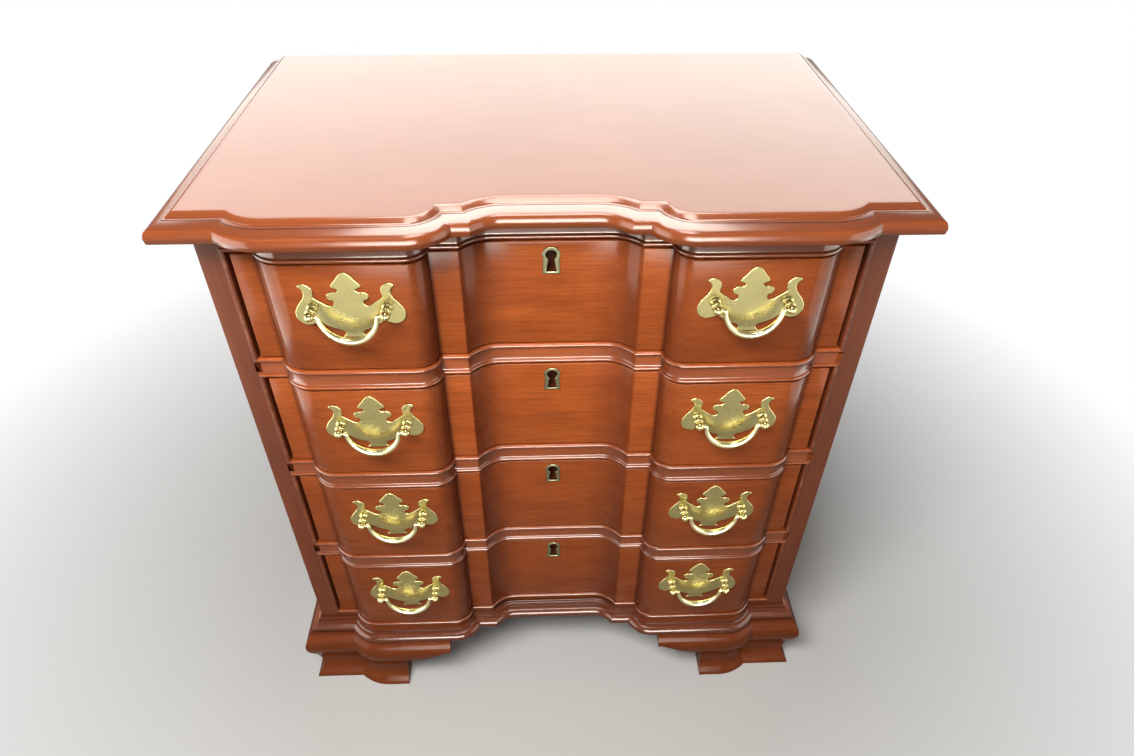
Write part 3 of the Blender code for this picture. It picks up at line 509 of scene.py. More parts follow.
class Recipe:
    """A finish built up node by node."""

    def __init__(self, name):
        self.material = fitted(bpy.data.materials.new(name), use_nodes=True)
        self.tree = self.material.node_tree
        self.shader = self.tree.nodes["Principled BSDF"]
        self.place = self.add("ShaderNodeTexCoord", "Object")
        self.piece_shift = self.math("MULTIPLY", self.add("ShaderNodeObjectInfo", "Random"), PIECE_SPREAD)

    def add(self, kind, output, inputs=None, **settings):
        return wire(self.tree, kind, output, inputs, **settings)

    def along(self, axis):
        """Where a point lies along an axis."""
        return self.add("ShaderNodeSeparateXYZ", axis, {"Vector": self.place})

    def math(self, operation, first, second=0.0):
        return self.add("ShaderNodeMath", "Value", {0: first, 1: second}, operation=operation)

    def noise(self, scale, detail, distortion=0.0):
        """Noise stretched by a scale for each axis, different on each piece."""
        stretched = self.add("ShaderNodeMapping", "Vector", {"Vector": self.place, "Scale": scale})
        inputs = {"Vector": stretched, "W": self.piece_shift, "Scale": 1.0, "Detail": detail,
                  "Distortion": distortion}
        return self.add("ShaderNodeTexNoise", "Fac", inputs, noise_dimensions="4D")

    def ramp(self, value, *stops):
        """A value read off a line of (position, value) stops."""
        read = self.add("ShaderNodeValToRGB", "Color", {"Fac": value})
        band = read.node.color_ramp.elements
        while len(band) < len(stops):
            band.new(0.5)
        for element, (position, level) in zip(band, stops):
            fitted(element, position=position, color=(level, level, level, 1.0))
        return read

    def mix(self, amount, first, second):
        """A colour between two others."""
        return self.add("ShaderNodeMix", 2, {0: amount, 6: first, 7: second}, data_type="RGBA")

    def bump(self, height, strength, distance):
        inputs = {"Height": height, "Strength": strength, "Distance": distance}
        self.set(Normal=self.add("ShaderNodeBump", "Normal", inputs))

    def set(self, **values):
        for key, value in values.items():
            feed(self.shader.inputs[key.replace("_", " ")], value)


def grained(grain, run, across):
    """Scales for noise that runs along a grain axis."""
    return [run if axis == grain else across for axis in "XYZ"]


# Stain and painted shade across a drawer front, as (share of the half width, depth of stain and shade):
# darker on the blocks, and darkest in the hollows and beside the rounds where shade falls
FRONT_STAIN_AND_SHADE = ((0.0, 0.0), (0.13, 0.02), (0.177, 0.22), (0.255, 0.62), (0.280, 0.58), (0.289, 0.04),
               (0.362, 0.06), (0.374, 0.85), (0.391, 0.55), (0.45, 0.22), (0.62, 0.18), (0.78, 0.24),
               (0.872, 0.40), (0.890, 0.85), (0.908, 0.1), (1.0, 0.22))
STAIN_AND_SHADE_HALF_WIDTH = 0.31
# Extra stain on each drawer's board and on each rail, from the top down: partly boards that differ, partly
# painted shade that darkens the lower drawers and rails
BOARD_STAINS_AND_SHADE = (0.14, 0.0, 0.27, 0.40)
RAIL_STAINS_AND_SHADE = (("top_rail", 0.05), ("drawer_rail_1", 0.0), ("drawer_rail_2", 0.25), ("drawer_rail_3", 0.35),
               ("bottom_rail", 0.5))


def mahogany(colours, name, grain, stain_and_shade, polish=0.5, show=1.0, blocked=False, satin=0.13):
    """Stained mahogany under satin lacquer, with how strongly its figure shows.

    A blocked front takes more stain and painted shade in its hollows and beside its rounds. Its point marks
    paint wood lighter where it is rubbed and where a highlight is painted, and darker with glaze and painted
    shade.
    """
    recipe = Recipe(name)
    figure = recipe.noise(grained(grain, 14.0, 55.0), 3.0, 0.5)
    band = recipe.noise(grained(grain, 1.5, 16.0), 2.0, 0.4)
    streak = recipe.noise(grained(grain, 26.0, 620.0), 3.0)
    pores = recipe.noise(grained(grain, 110.0, 2200.0), 1.0)
    cloud = recipe.noise((9.0, 9.0, 9.0), 2.0)
    patches = recipe.noise((120.0, 120.0, 120.0), 3.0)
    glow = recipe.math("ADD", recipe.math("MULTIPLY", figure, 0.6), recipe.math("MULTIPLY", band, 0.4))
    half = 0.14 / show
    glow = recipe.ramp(glow, (0.5 - half, 0.0), (0.5 + half, 1.0))
    wood = recipe.mix(glow, colours.wood_mid, colours.wood_light)
    depth = recipe.math("ADD", stain_and_shade, recipe.math("MULTIPLY", recipe.math("SUBTRACT", cloud, 0.5), 0.25))
    darker = [recipe.math("MAXIMUM", depth, 0.0)]
    if blocked:
        # Painted shade with the stain, across a blocked front
        side = recipe.math("DIVIDE", recipe.math("ABSOLUTE", recipe.along("X")), STAIN_AND_SHADE_HALF_WIDTH)
        darker.append(recipe.ramp(side, *FRONT_STAIN_AND_SHADE))
    darker.append(recipe.ramp(streak, (0.36, 0.28 * show), (0.60, 0.0)))
    darker.append(recipe.ramp(pores, (0.60, 0.0), (0.74, 0.4 * show)))
    for amount in darker:
        wood = recipe.mix(amount, wood, colours.wood_dark)
    # Lighter where rubbed, and where a highlight is painted on crests and edges
    wear_light_and_shade = recipe.add("ShaderNodeAttribute", "Fac", attribute_name="wear_light_and_shade")
    rubbed_and_lit = recipe.math("MULTIPLY", recipe.math("MAXIMUM", wear_light_and_shade, 0.0),
                         recipe.ramp(patches, (0.50, 0.0), (0.70, 1.0)))
    wood = recipe.mix(recipe.math("MULTIPLY", rubbed_and_lit, 0.35), wood, colours.wood_worn_and_lit)
    # Darker with glaze, and with painted shade in hollows, quirks, crevices and undersides
    glaze_and_shade = recipe.math("MAXIMUM", recipe.math("MULTIPLY", wear_light_and_shade, -1.0), 0.0)
    wood = recipe.mix(glaze_and_shade, wood, colours.wood_dark)
    gloss = recipe.math("ADD", satin, recipe.math("MULTIPLY", cloud, 0.10))
    recipe.set(Base_Color=wood, Roughness=gloss, Specular_IOR_Level=polish)
    recipe.bump(recipe.math("SUBTRACT", streak, recipe.math("MULTIPLY", pores, 0.5)), 0.06, 0.0003)
    return recipe.material


def side_wood(colours):
    """The mahogany of the base and the feet along the sides, made once."""
    name = "case_mahogany_side_lengths"
    return bpy.data.materials.get(name) or mahogany(colours, name, "Y", stain_and_shade=0.5)


def poplar(colours, name, grain):
    """Bare pale wood for the parts that stay out of sight."""
    recipe = Recipe(name)
    figure = recipe.noise(grained(grain, 3.0, 34.0), 3.0, 0.8)
    streak = recipe.noise(grained(grain, 9.0, 420.0), 2.0)
    darker = recipe.ramp(figure, (0.35, 0.0), (0.7, 1.0))
    wood = recipe.mix(darker, colours.poplar_light, colours.poplar_dark)
    wood = recipe.mix(recipe.ramp(streak, (0.4, 0.35), (0.65, 0.0)), wood, colours.poplar_dark)
    recipe.set(Base_Color=wood, Roughness=recipe.math("ADD", 0.55, recipe.math("MULTIPLY", figure, 0.2)))
    recipe.bump(streak, 0.15, 0.0004)
    return recipe.material


BRASS_ROUGHNESS = 0.22
POST_ROUGHNESS = 0.5
RIM_ROUGHNESS = 0.16


def polished_brass(name, bright, dull, roughness):
    """Brass that shows its surroundings, duller where it is handled."""
    recipe = Recipe(name)
    smear = recipe.noise((70.0, 70.0, 110.0), 3.0, 0.4)
    fine = recipe.noise((900.0, 900.0, 900.0), 2.0)
    tint = recipe.mix(recipe.ramp(smear, (0.42, 0.0), (0.72, 1.0)), bright, dull)
    gloss = recipe.math("ADD", roughness, recipe.math("MULTIPLY", smear, 0.12))
    recipe.set(Base_Color=tint, Metallic=1.0, Roughness=gloss)
    recipe.bump(fine, 0.03, 0.0002)
    return recipe.material


# Top

# The top's edge as (reach beyond the flat, drop, wear and painted light): a chamfer and a fillet, then the
# nose. Its arrises are lighter, partly rubbed and partly painted highlight, and its quirks and inner corners
# are painted shade
TOP_CHAMFER = ((-0.006, 0.0, 0.0), (-0.0022, 0.0, 0.0), (-0.0018, 0.0001, 0.5), (-0.0013, 0.0003, 0.2),
               (0.0008, 0.0017, -0.2), (0.0029, 0.0031, -0.2), (0.0033, 0.0034, 0.4), (0.0035, 0.0043, -0.6),
               (0.0038, 0.0044, -0.3), (0.0058, 0.0045, 0.1), (0.0062, 0.0046, 0.5), (0.0064, 0.0050, -1.0))
# The nose's arris is lighter, partly rubbed and partly painted highlight, and its underside is painted shade
TOP_NOSE = ((0.0205, 0.0166, 0.3), (0.0204, 0.0172, 0.0), (0.0201, 0.0180, 0.0), (0.0199, 0.0208, 0.0),
            (0.0192, 0.0218, 0.2), (0.0180, 0.0225, -0.2))
TOP_UNDERSIDE = 0.0160
# The round between them as (reach, drop)
TOP_ROUND = ((0.0072, 0.0051), (0.0095, 0.0057), (0.0120, 0.0065), (0.0145, 0.0074), (0.0168, 0.0085),
             (0.0184, 0.0096), (0.0192, 0.0108), (0.0197, 0.0121), (0.0201, 0.0134), (0.0204, 0.0148),
             (0.0205, 0.0162))
# Glaze and painted shade down the round under the fillet, as (drop that it reaches, wear and painted light)
TOP_GLAZE_AND_SHADE = ((0.0054, -0.8), (0.009, -0.3), (1.0, 0.0))


def top_edge(thickness):
    """The whole edge, its round dark with glaze and painted shade under the fillet, and its underside dark
    with painted shade.
    """
    rounded = [(reach, drop, next(worn_lit_and_shaded for end, worn_lit_and_shaded in TOP_GLAZE_AND_SHADE if drop < end))
               for reach, drop in smooth_marks(TOP_ROUND, 3)]
    return [*TOP_CHAMFER, *rounded, *TOP_NOSE, (TOP_UNDERSIDE, thickness, -0.6)]


class CHEST_OT_top(bpy.types.Operator):
    """Make the moulded top board"""
    bl_idname = "chest.top"
    bl_label = "Moulded top"

    def execute(self, context):
        chest = Places(context.scene)
        mouldings = chest.mouldings
        line = BlockedLine(chest, mouldings.top_recess, mouldings.top_strip, mouldings.top_block,
                           mouldings.top_flat, mouldings.top_spread)
        low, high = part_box("top_panel")
        edge = top_edge(high.z - low.z)
        sections = []
        for reach, drop, _ in edge:
            half_width = chest.half_case + mouldings.top_flat + reach
            outline = chest.front(line.half(reach, half_width))
            outline += [(half_width, high.y), (-half_width, high.y)]
            sections.append([(x, y, high.z - drop) for x, y in outline])
        stock = Joinery().loft(sections, [worn_lit_and_shaded for *_, worn_lit_and_shaded in edge], by_loop=True)
        finish = mahogany(chest.colours, "case_mahogany_top", "X", stain_and_shade=0.52, show=0.35)
        add_case("top_board", stock, finish, "top_panel")
        return {"FINISHED"}


# Sides

SIDE_SOFTENING = 0.0012
GUIDE_ROOM = 0.002
GUIDE_HEIGHT = 0.016
GLUE_GAP = 0.0003


def side_plan(chest):
    """Plan of a side: the stile outside its beads, the board behind it, and the rebate for the back."""
    soft = SIDE_SOFTENING
    outer = chest.half_case
    stile = chest.half_opening + bead_section(chest.mouldings)[-1][0]
    inner = outer - chest.plan.side_thickness
    back_low, back_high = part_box("back_panel")
    front = chest.face_y
    return [
        (outer, front + soft), (outer - soft * 0.3, front + soft * 0.3), (outer - soft, front),
        (stile, front), (stile, front + chest.plan.stile_depth), (inner, front + chest.plan.stile_depth),
        (inner, back_low.y), (back_high.x + SEAM, back_low.y), (back_high.x + SEAM, chest.back_y),
        (outer - soft, chest.back_y), (outer, chest.back_y - soft),
    ]


def stile_bead(stock, chest, hand, floor, ceiling):
    """The upright bead beside an opening, mitred at both ends."""
    section = bead_section(chest.mouldings)
    back = chest.face_y + chest.plan.stile_depth
    face = [(d, chest.face_y - reach) for d, reach, _ in section] + [(section[-1][0], back), (0.0, back)]
    wear_light_and_shade = [worn_lit_and_shaded for *_, worn_lit_and_shaded in section] + [0.0, 0.0]
    stock.loft([[(hand * (chest.half_opening + d), y, height + away * d) for d, y in face]
                for height, away in ((floor, -1), (ceiling, 1))], wear_light_and_shade)


def guide(stock, chest, hand, floor):
    """The strip that keeps a drawer straight, glued to the case side."""
    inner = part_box("drawer_1_right_side")[1].x + GUIDE_ROOM
    outer = chest.half_case - chest.plan.side_thickness
    near, far = sorted((hand * inner, hand * outer))
    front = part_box("drawer_rail_1")[1].y
    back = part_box("back_panel")[0].y
    stock.board((near, front + GLUE_GAP, floor + GLUE_GAP), (far, back - GLUE_GAP, floor + GUIDE_HEIGHT))


class CHEST_OT_sides(bpy.types.Operator):
    """Make the case sides with their beaded stiles and drawer guides"""
    bl_idname = "chest.sides"
    bl_label = "Case sides"

    def execute(self, context):
        chest = Places(context.scene)
        finish = mahogany(chest.colours, "case_mahogany_upright", "Z", stain_and_shade=0.76, polish=0.2, satin=0.45)
        for word, hand in HANDS:
            stock = Joinery().loft([[(hand * x, y, z) for x, y in side_plan(chest)]
                                    for z in (chest.foot_z, chest.crown_z)])
            for number in DRAWERS:
                floor, ceiling = chest.opening(number)
                stile_bead(stock, chest, hand, floor, ceiling)
                guide(stock, chest, hand, floor)
            add_case(f"{word}_side_board", stock, finish, f"{word}_side")
        return {"FINISHED"}


# Rails and inner panels

RAIL_SHADOW = 0.004
PANEL_SOFTENING = 0.0006


def rail(chest, face, back_y):
    """A rail whose face is (distance from the opening, z, reach, wear and painted light), mitred into the
    stiles' beads.
    """
    line = case_line(chest)
    rows = [[(x, y, z) for x, y in chest.front(line.half(reach, chest.half_opening + d - SEAM))]
            for d, z, reach, _ in face]
    sections = []
    for section in zip(*rows):
        (top_x, _, top_z), (foot_x, _, foot_z) = section[0], section[-1]
        sections.append([*section, (foot_x, back_y, foot_z), (top_x, back_y, top_z)])
    wear_light_and_shade = [worn_lit_and_shaded for *_, worn_lit_and_shaded in face] + [0.0, 0.0]
    return Joinery().loft(sections, wear_light_and_shade)


class CHEST_OT_rails(bpy.types.Operator):
    """Make the five beaded rails that follow the blocks"""
    bl_idname = "chest.rails"
    bl_label = "Beaded rails"

    def execute(self, context):
        chest = Places(context.scene)
        bead = bead_section(chest.mouldings)
        width = bead[-1][0]
        for node, stain_and_shade in RAIL_STAINS_AND_SHADE:
            low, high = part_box(node)
            upper = [(d, high.z - d, reach, worn_lit_and_shaded) for d, reach, worn_lit_and_shaded in bead]
            lower = [(d, low.z + d, reach, worn_lit_and_shaded) for d, reach, worn_lit_and_shaded in reversed(bead)]
            if node == "top_rail":
                upper = [(width, high.z, 0.0, -0.8), (width, high.z - RAIL_SHADOW, 0.0, -0.7)]
            elif node == "bottom_rail":
                lower = [(width, low.z, 0.0, 0.0)]
            finish = mahogany(chest.colours, "case_mahogany_" + node, "X", stain_and_shade, polish=0.7, show=0.6,
                              blocked=True)
            add_case(node + "_beaded", rail(chest, upper + lower, high.y), finish, node)
        return {"FINISHED"}


class CHEST_OT_inner_panels(bpy.types.Operator):
    """Finish the dust panels, the case bottom and the back"""
    bl_idname = "chest.inner_panels"
    bl_label = "Inner panels and back"

    def execute(self, context):
        colours = context.scene.chest_finishes
        finish = poplar(colours, "inner_poplar_panels", "X")
        for node in ("dust_panel_1", "dust_panel_2", "dust_panel_3", "bottom_panel"):
            dress_solid(node, finish, PANEL_SOFTENING)
        dress_solid("back_panel", poplar(colours, "inner_poplar_back", "Z"), PANEL_SOFTENING)
        return {"FINISHED"}


# Base moulding

# The moulding as (reach, drop from its top, wear and painted light): a step and a thin fillet, then the
# underside of its nose. The step's crevice and the underside are painted shade, and the fillet's edge is
# lighter, partly rubbed and partly painted highlight
BASE_STEP = ((0.0003, 0.0, -0.7), (0.0008, 0.0002, -0.7), (0.0012, 0.0038, -0.5), (0.0020, 0.0041, -0.4),
             (0.0042, 0.0043, 0.6), (0.0044, 0.0056, -0.3), (0.0048, 0.0086, -0.5), (0.0058, 0.0095, -0.4))
BASE_UNDERSIDE = ((0.0142, 0.0199, 0.0), (0.0137, 0.0214, 0.0), (0.0128, 0.0227, -0.2),
                  (0.0116, 0.0236, -0.5), (0.0102, 0.0240, -0.8), (0.0042, 0.0240, -0.9))
# Where the nose starts, and its sizes, as (reach, drop)
NOSE_START = (0.0062, 0.0098)
NOSE_SIZE = (0.0081, 0.0087)
# The backing below the nose as (reach, wear and painted light), dark with painted shade, and its gap over
# the case's foot
BASE_BACKING = ((0.0042, -0.9), (0.0003, 0.0))
BACKING_GAP = 0.0001


def base_profile(chest):
    """The base moulding as (reach, z, wear and painted light): a step, a thin fillet, a round nose and its
    backing. The nose is lighter across its middle, partly rubbed and partly painted highlight.
    """
    nose = [(NOSE_START[0] + NOSE_SIZE[0] * sin(a), NOSE_START[1] + NOSE_SIZE[1] * (1 - cos(a)),
             0.4 * sin(2 * a)) for a in turns(QUARTER_TURN, 10)]
    profile = [(reach, chest.base_top - drop, worn_lit_and_shaded)
               for reach, drop, worn_lit_and_shaded in (*BASE_STEP, *nose, *BASE_UNDERSIDE)]
    return profile + [(reach, chest.foot_z + BACKING_GAP, worn_lit_and_shaded) for reach, worn_lit_and_shaded in BASE_BACKING]


class CHEST_OT_base(bpy.types.Operator):
    """Make the base moulding in three mitred lengths"""
    bl_idname = "chest.base"
    bl_label = "Base moulding"

    def execute(self, context):
        chest = Places(context.scene)
        profile = base_profile(chest)
        wear_light_and_shade = [worn_lit_and_shaded for *_, worn_lit_and_shaded in profile]
        line = BlockedLine(chest, -chest.mouldings.base_recess, 0.0, chest.mouldings.base_block, 0.0)
        rows = [[(x, y, z) for x, y in chest.front(line.half(reach, chest.half_case + reach))]
                for reach, z, _ in profile]
        stock = Joinery().loft(zip(*rows), wear_light_and_shade)
        finish = mahogany(chest.colours, "case_mahogany_base", "X", stain_and_shade=0.82)
        add_case("base_front_moulding", stock, finish, "base_moulding_front")
        for word, hand in HANDS:
            mitre = [(hand * (chest.half_case + reach), chest.face_y - reach + 2 * SEAM, z)
                     for reach, z, _ in profile]
            stock = Joinery().loft((mitre, [(x, chest.back_y, z) for x, _, z in mitre]), wear_light_and_shade)
            add_case(f"base_{word}_moulding", stock, side_wood(chest.colours), f"base_moulding_{word}")
        return {"FINISHED"}


# Feet

# The ogee of a foot as (z, reach), and its toe as (reach, z, wear and painted light), lighter as partly
# rubbed and partly painted highlight
OGEE = ((0.1022, 0.0120), (0.1016, 0.0148), (0.1000, 0.0176), (0.0970, 0.0205), (0.0930, 0.0232),
        (0.0890, 0.0248), (0.0845, 0.0257), (0.0800, 0.0260), (0.0735, 0.0255), (0.0650, 0.0232),
        (0.0575, 0.0200), (0.0480, 0.0162), (0.0400, 0.0144), (0.0340, 0.0139), (0.0260, 0.0140),
        (0.0190, 0.0147), (0.0130, 0.0172), (0.0080, 0.0206), (0.0040, 0.0232), (0.0018, 0.0237))
TOE = [(0.0237, 0.0018, 0.8), (0.0232, 0.0004, 0.9), (0.0222, 0.0, 0.3)]
OGEE_CURVE = smooth_marks(OGEE, 6)
FOOT_TOP = OGEE[0][0]
FOOT_SHADOW = 0.1
FOOT_STEPS = 30
# A bracket's lower line as shares of its length and of its rise, and the height of its tip's upper edge
BRACKET_MARKS = ((0.0, 0.0), (0.04, 0.035), (0.14, 0.09), (0.32, 0.27), (0.62, 0.66), (0.86, 0.95),
                 (1.0, 1.0))
BRACKET_TOP = 0.0967


def ogee_reach(z):
    """Reach of the foot's face at a height."""
    for (upper, start), (lower, end) in zip(OGEE_CURVE, OGEE_CURVE[1:]):
        if lower <= z <= upper:
            return start + (end - start) * (upper - z) / (upper - lower)
    return OGEE_CURVE[0 if z > FOOT_TOP else -1][1]


def foot_face(foot, stock):
    """A foot's closed profile of (reach, z, wear and painted light) from its top to a lower end, with a flat
    back. Its top under the base moulding is painted shadow, and its lower edge is lighter, partly rubbed and
    partly painted highlight.
    """
    heights = [FOOT_TOP + (foot - FOOT_TOP) * i / FOOT_STEPS for i in range(FOOT_STEPS + 1)]
    face = [(ogee_reach(z), z, -0.8 if z > FOOT_SHADOW else 0.0) for z in heights]
    if foot <= 0:
        face = face[:-1] + TOE
    reach, low, _ = face[-1]
    return face[:-1] + [(reach, low, 0.7), (-stock, max(foot, 0.0), 0.0), (-stock, FOOT_TOP, 0.0)]


def bracket_stations(mouldings, width, length):
    """Lower line of a bracket, from the foot to its tip, as (distance from the corner, z)."""
    spring = mouldings.bracket_spring
    rise = BRACKET_TOP - mouldings.bracket_tip - spring
    return smooth_marks([(width + length * a, spring + rise * b) for a, b in BRACKET_MARKS], 3)


def side_bracket(stock, chest, hand, corner_y, way):
    """The bracket along a side, from a foot at a corner towards the middle of the side."""
    mouldings = chest.mouldings
    stations = bracket_stations(mouldings, mouldings.side_foot, mouldings.side_bracket)
    stock.loft([[(hand * (chest.half_case + reach), corner_y + way * away, z)
                 for reach, z, _ in foot_face(foot, mouldings.foot_stock)] for away, foot in stations])


class CHEST_OT_front_feet(bpy.types.Operator):
    """Make the front feet, with a bracket along the front and one along the side"""
    bl_idname = "chest.front_feet"
    bl_label = "Front feet"

    def execute(self, context):
        chest = Places(context.scene)
        mouldings = chest.mouldings
        finish = mahogany(chest.colours, "case_mahogany_feet", "X", stain_and_shade=0.72, polish=0.09)
        line = BlockedLine(chest, -chest.plan.recess_depth, 0.0, mouldings.foot_block, 0.0)
        face = foot_face(0.0, mouldings.foot_stock)
        block_y = chest.face_y - mouldings.foot_block
        stations = bracket_stations(mouldings, mouldings.foot_width, mouldings.bracket)
        for word, hand in HANDS:
            rows = []
            for reach, z, _ in face:
                side_x = chest.half_case + reach
                plan = [(chest.half_case - mouldings.foot_width, block_y - reach)]
                plan += [(x, chest.face_y - r) for x, r in line.block_outside(reach)]
                plan += [(side_x, chest.face_y - reach), (side_x, chest.face_y + mouldings.side_foot)]
                rows.append([(hand * x, y, z) for x, y in plan])
            stock = Joinery().loft(zip(*rows), [worn_lit_and_shaded for *_, worn_lit_and_shaded in face])
            stock.loft([[(hand * (chest.half_case - away), block_y - reach, z)
                         for reach, z, _ in foot_face(foot, mouldings.foot_stock)]
                        for away, foot in stations])
            side_bracket(stock, chest, hand, chest.face_y, 1)
            add_case(f"front_{word}_ogee_foot", stock, finish, f"front_{word}_foot")
        return {"FINISHED"}


class CHEST_OT_rear_feet(bpy.types.Operator):
    """Make the rear feet: an ogee along the side and a plain board across the back"""
    bl_idname = "chest.rear_feet"
    bl_label = "Rear feet"

    def execute(self, context):
        chest = Places(context.scene)
        mouldings = chest.mouldings
        face = foot_face(0.0, mouldings.foot_stock)
        stations = bracket_stations(mouldings, mouldings.foot_width, mouldings.bracket)
        inner = chest.half_case - mouldings.foot_stock
        outline = [(inner, 0.0), (inner, FOOT_TOP), (chest.half_case - stations[-1][0], FOOT_TOP)]
        outline += [(chest.half_case - away, z) for away, z in reversed(stations)]
        outline.append((chest.half_case - mouldings.foot_width, 0.0))
        for word, hand in HANDS:
            ends = [[(hand * (chest.half_case + reach), y, z) for reach, z, _ in face]
                    for y in (chest.back_y - mouldings.side_foot, chest.back_y)]
            stock = Joinery().loft(ends, [worn_lit_and_shaded for *_, worn_lit_and_shaded in face])
            side_bracket(stock, chest, hand, chest.back_y, -1)
            stock.loft([[(hand * x, y, z) for x, z in outline]
                        for y in (chest.back_y - mouldings.rear_board, chest.back_y)])
            add_case(f"rear_{word}_ogee_foot", stock, side_wood(chest.colours), f"rear_{word}_foot")
        return {"FINISHED"}


# Drawers and keyholes

RIM_LEAN = radians(27)
SLOT_LEAN = radians(56)
POCKET_ROOM = 0.0002
GROOVE_ROOM = 0.0003
GROOVE_OVERRUN = 0.01
FRONT_LAP = 0.001
DRAWER_SOFTENING = 0.0008
KEYHOLE_STEPS = 28
# Where a front is lighter, partly rubbed and partly painted highlight: how near its top and bottom edges,
# and how far from its back
RUBBED_AND_LIT_EDGE = 0.0006
RUBBED_AND_LIT_FRONT = 0.005
# Where the key slot lies, which is painted dark as shade: within a half width, and how far from those edges
# and from the back
SLOT_HALF_WIDTH = 0.009
SLOT_EDGE = 0.003
SLOT_FRONT = 0.002


def keyhole_line(head, lean, skirt, foot):
    """A round head that narrows to a waist and widens to a foot, as (x, z) from the head's middle."""
    angles = [a - lean for a in turns(pi + 2 * lean, KEYHOLE_STEPS)]
    return [(head * cos(a), head * sin(a)) for a in angles] + [(-skirt, foot), (skirt, foot)]


def rim_line(drawers, height, grow=0.0):
    foot = drawers.keyhole_head - height - grow
    return keyhole_line(drawers.keyhole_head + grow, RIM_LEAN, drawers.keyhole_skirt + grow, foot)


def slot_line(drawers, height):
    foot = drawers.keyhole_head - height + drawers.slot_margin
    return keyhole_line(drawers.slot_head, SLOT_LEAN, drawers.slot_skirt, foot)


def keyhole(drawers, number):
    """The middle of a keyhole rim's head, and the rim's height and thickness."""
    low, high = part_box(f"drawer_{number}_keyhole")
    middle = (0.0, (low.y + high.y) / 2, high.z - drawers.keyhole_head)
    return middle, high.z - low.z, high.y - low.y


def front_stock(chest, low, high):
    """The blocked front with softened edges, as level loops from its foot to its top."""
    line = case_line(chest)
    soft = chest.drawers.edge
    end = high.x + FRONT_LAP
    rounding = [(soft * (1 - sin(a)), soft * (1 - cos(a))) for a in turns(QUARTER_TURN, 3)]
    levels = [(low.z + rise, inset) for rise, inset in reversed(rounding)]
    levels += [(high.z - rise, inset) for rise, inset in rounding]
    sections = []
    for z, inset in levels:
        half = line.half(-inset, end - soft)
        half += [(end - inset - soft * 0.3, -inset - soft * 0.3), (end - inset, -inset - soft)]
        outline = chest.front(half) + [(end - inset, high.y), (inset - end, high.y)]
        sections.append([(x, y, z) for x, y in outline])
    return Joinery().loft(sections).mesh("drawer_front")


def front_tools(drawers, number):
    """Cutters for the rim's pocket, the key slot and the groove that takes the drawer bottom."""
    middle, height, thickness = keyhole(drawers, number)
    pocket = flat_curve("pocket", [rim_line(drawers, height, POCKET_ROOM)], thickness + 2 * POCKET_ROOM)
    bore = flat_curve("bore", [slot_line(drawers, height)], 2 * drawers.slot_depth)
    low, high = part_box(f"drawer_{number}_bottom")
    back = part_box(f"drawer_{number}_front")[1].y + GROOVE_OVERRUN
    room = Vector((GROOVE_ROOM, GROOVE_ROOM, GROOVE_ROOM))
    groove = Joinery().board(low - room, Vector((high.x, back, high.z)) + room)
    return [upright(pocket, middle), upright(bore, middle), groove.mesh("groove")]


def rub_light_edges_shade_slot(mesh, low, high, pocket_y):
    """Marks the top and bottom edges of a drawer front as lighter, partly rubbed and partly painted
    highlight, and paints the key slot dark as shade.
    """
    worn_lit_and_shaded = mesh.attributes.get("wear_light_and_shade") or mesh.attributes.new("wear_light_and_shade", "FLOAT", "POINT")
    for vert, mark in zip(mesh.vertices, worn_lit_and_shaded.data):
        edge = min(vert.co.z - low.z, high.z - vert.co.z)
        mark.value = 0.9 if edge < RUBBED_AND_LIT_EDGE and vert.co.y < high.y - RUBBED_AND_LIT_FRONT else 0.0
        inside = pocket_y < vert.co.y < high.y - SLOT_FRONT
        if inside and abs(vert.co.x) < SLOT_HALF_WIDTH and edge > SLOT_EDGE:
            mark.value = -0.97


class CHEST_OT_drawer_fronts(bpy.types.Operator):
    """Make the four blocked drawer fronts, bored for their keyholes"""
    bl_idname = "chest.drawer_fronts"
    bl_label = "Drawer fronts"

    def execute(self, context):
        chest = Places(context.scene)
        for number, stain_and_shade in zip(DRAWERS, BOARD_STAINS_AND_SHADE):
            node = f"drawer_{number}_front"
            low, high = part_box(node)
            finish = mahogany(chest.colours, f"drawer_mahogany_front_{number}", "X", stain_and_shade, polish=0.16,
                              blocked=True)
            mesh = cut(front_stock(chest, low, high), front_tools(chest.drawers, number))
            rub_light_edges_shade_slot(mesh, low, high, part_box(f"drawer_{number}_keyhole")[1].y)
            add_piece(f"drawer_{number}_blocked_front", mesh, finish, f"drawer_{number}", "drawer_mahogany",
                      node)
        return {"FINISHED"}


class CHEST_OT_drawer_boxes(bpy.types.Operator):
    """Finish the sides, back and bottom of each drawer"""
    bl_idname = "chest.drawer_boxes"
    bl_label = "Drawer boxes"

    def execute(self, context):
        for grain, words in (("Y", ("left_side", "right_side")), ("X", ("back", "bottom"))):
            finish = poplar(context.scene.chest_finishes, f"inner_poplar_drawer_{grain}", grain)
            for node in [f"drawer_{number}_{word}" for number in DRAWERS for word in words]:
                dress_solid(node, finish, DRAWER_SOFTENING)
        return {"FINISHED"}


class CHEST_OT_keyholes(bpy.types.Operator):
    """Make the brass keyhole rims"""
    bl_idname = "chest.keyholes"
    bl_label = "Keyhole rims"

    def execute(self, context):
        drawers = context.scene.chest_drawers
        aged = context.scene.chest_finishes.brass_aged
        finish = polished_brass("polished_brass_rims", aged, aged, RIM_ROUGHNESS)
        for number in DRAWERS:
            middle, height, thickness = keyhole(drawers, number)
            lines = [rim_line(drawers, height), slot_line(drawers, height)]
            mesh = upright(flat_curve("rim", lines, thickness, drawers.rim_bevel), middle)
            add_piece(f"drawer_{number}_keyhole_rim", mesh, finish, f"drawer_{number}", "polished_brass",
                      f"drawer_{number}_keyhole")
        return {"FINISHED"}


# Pulls

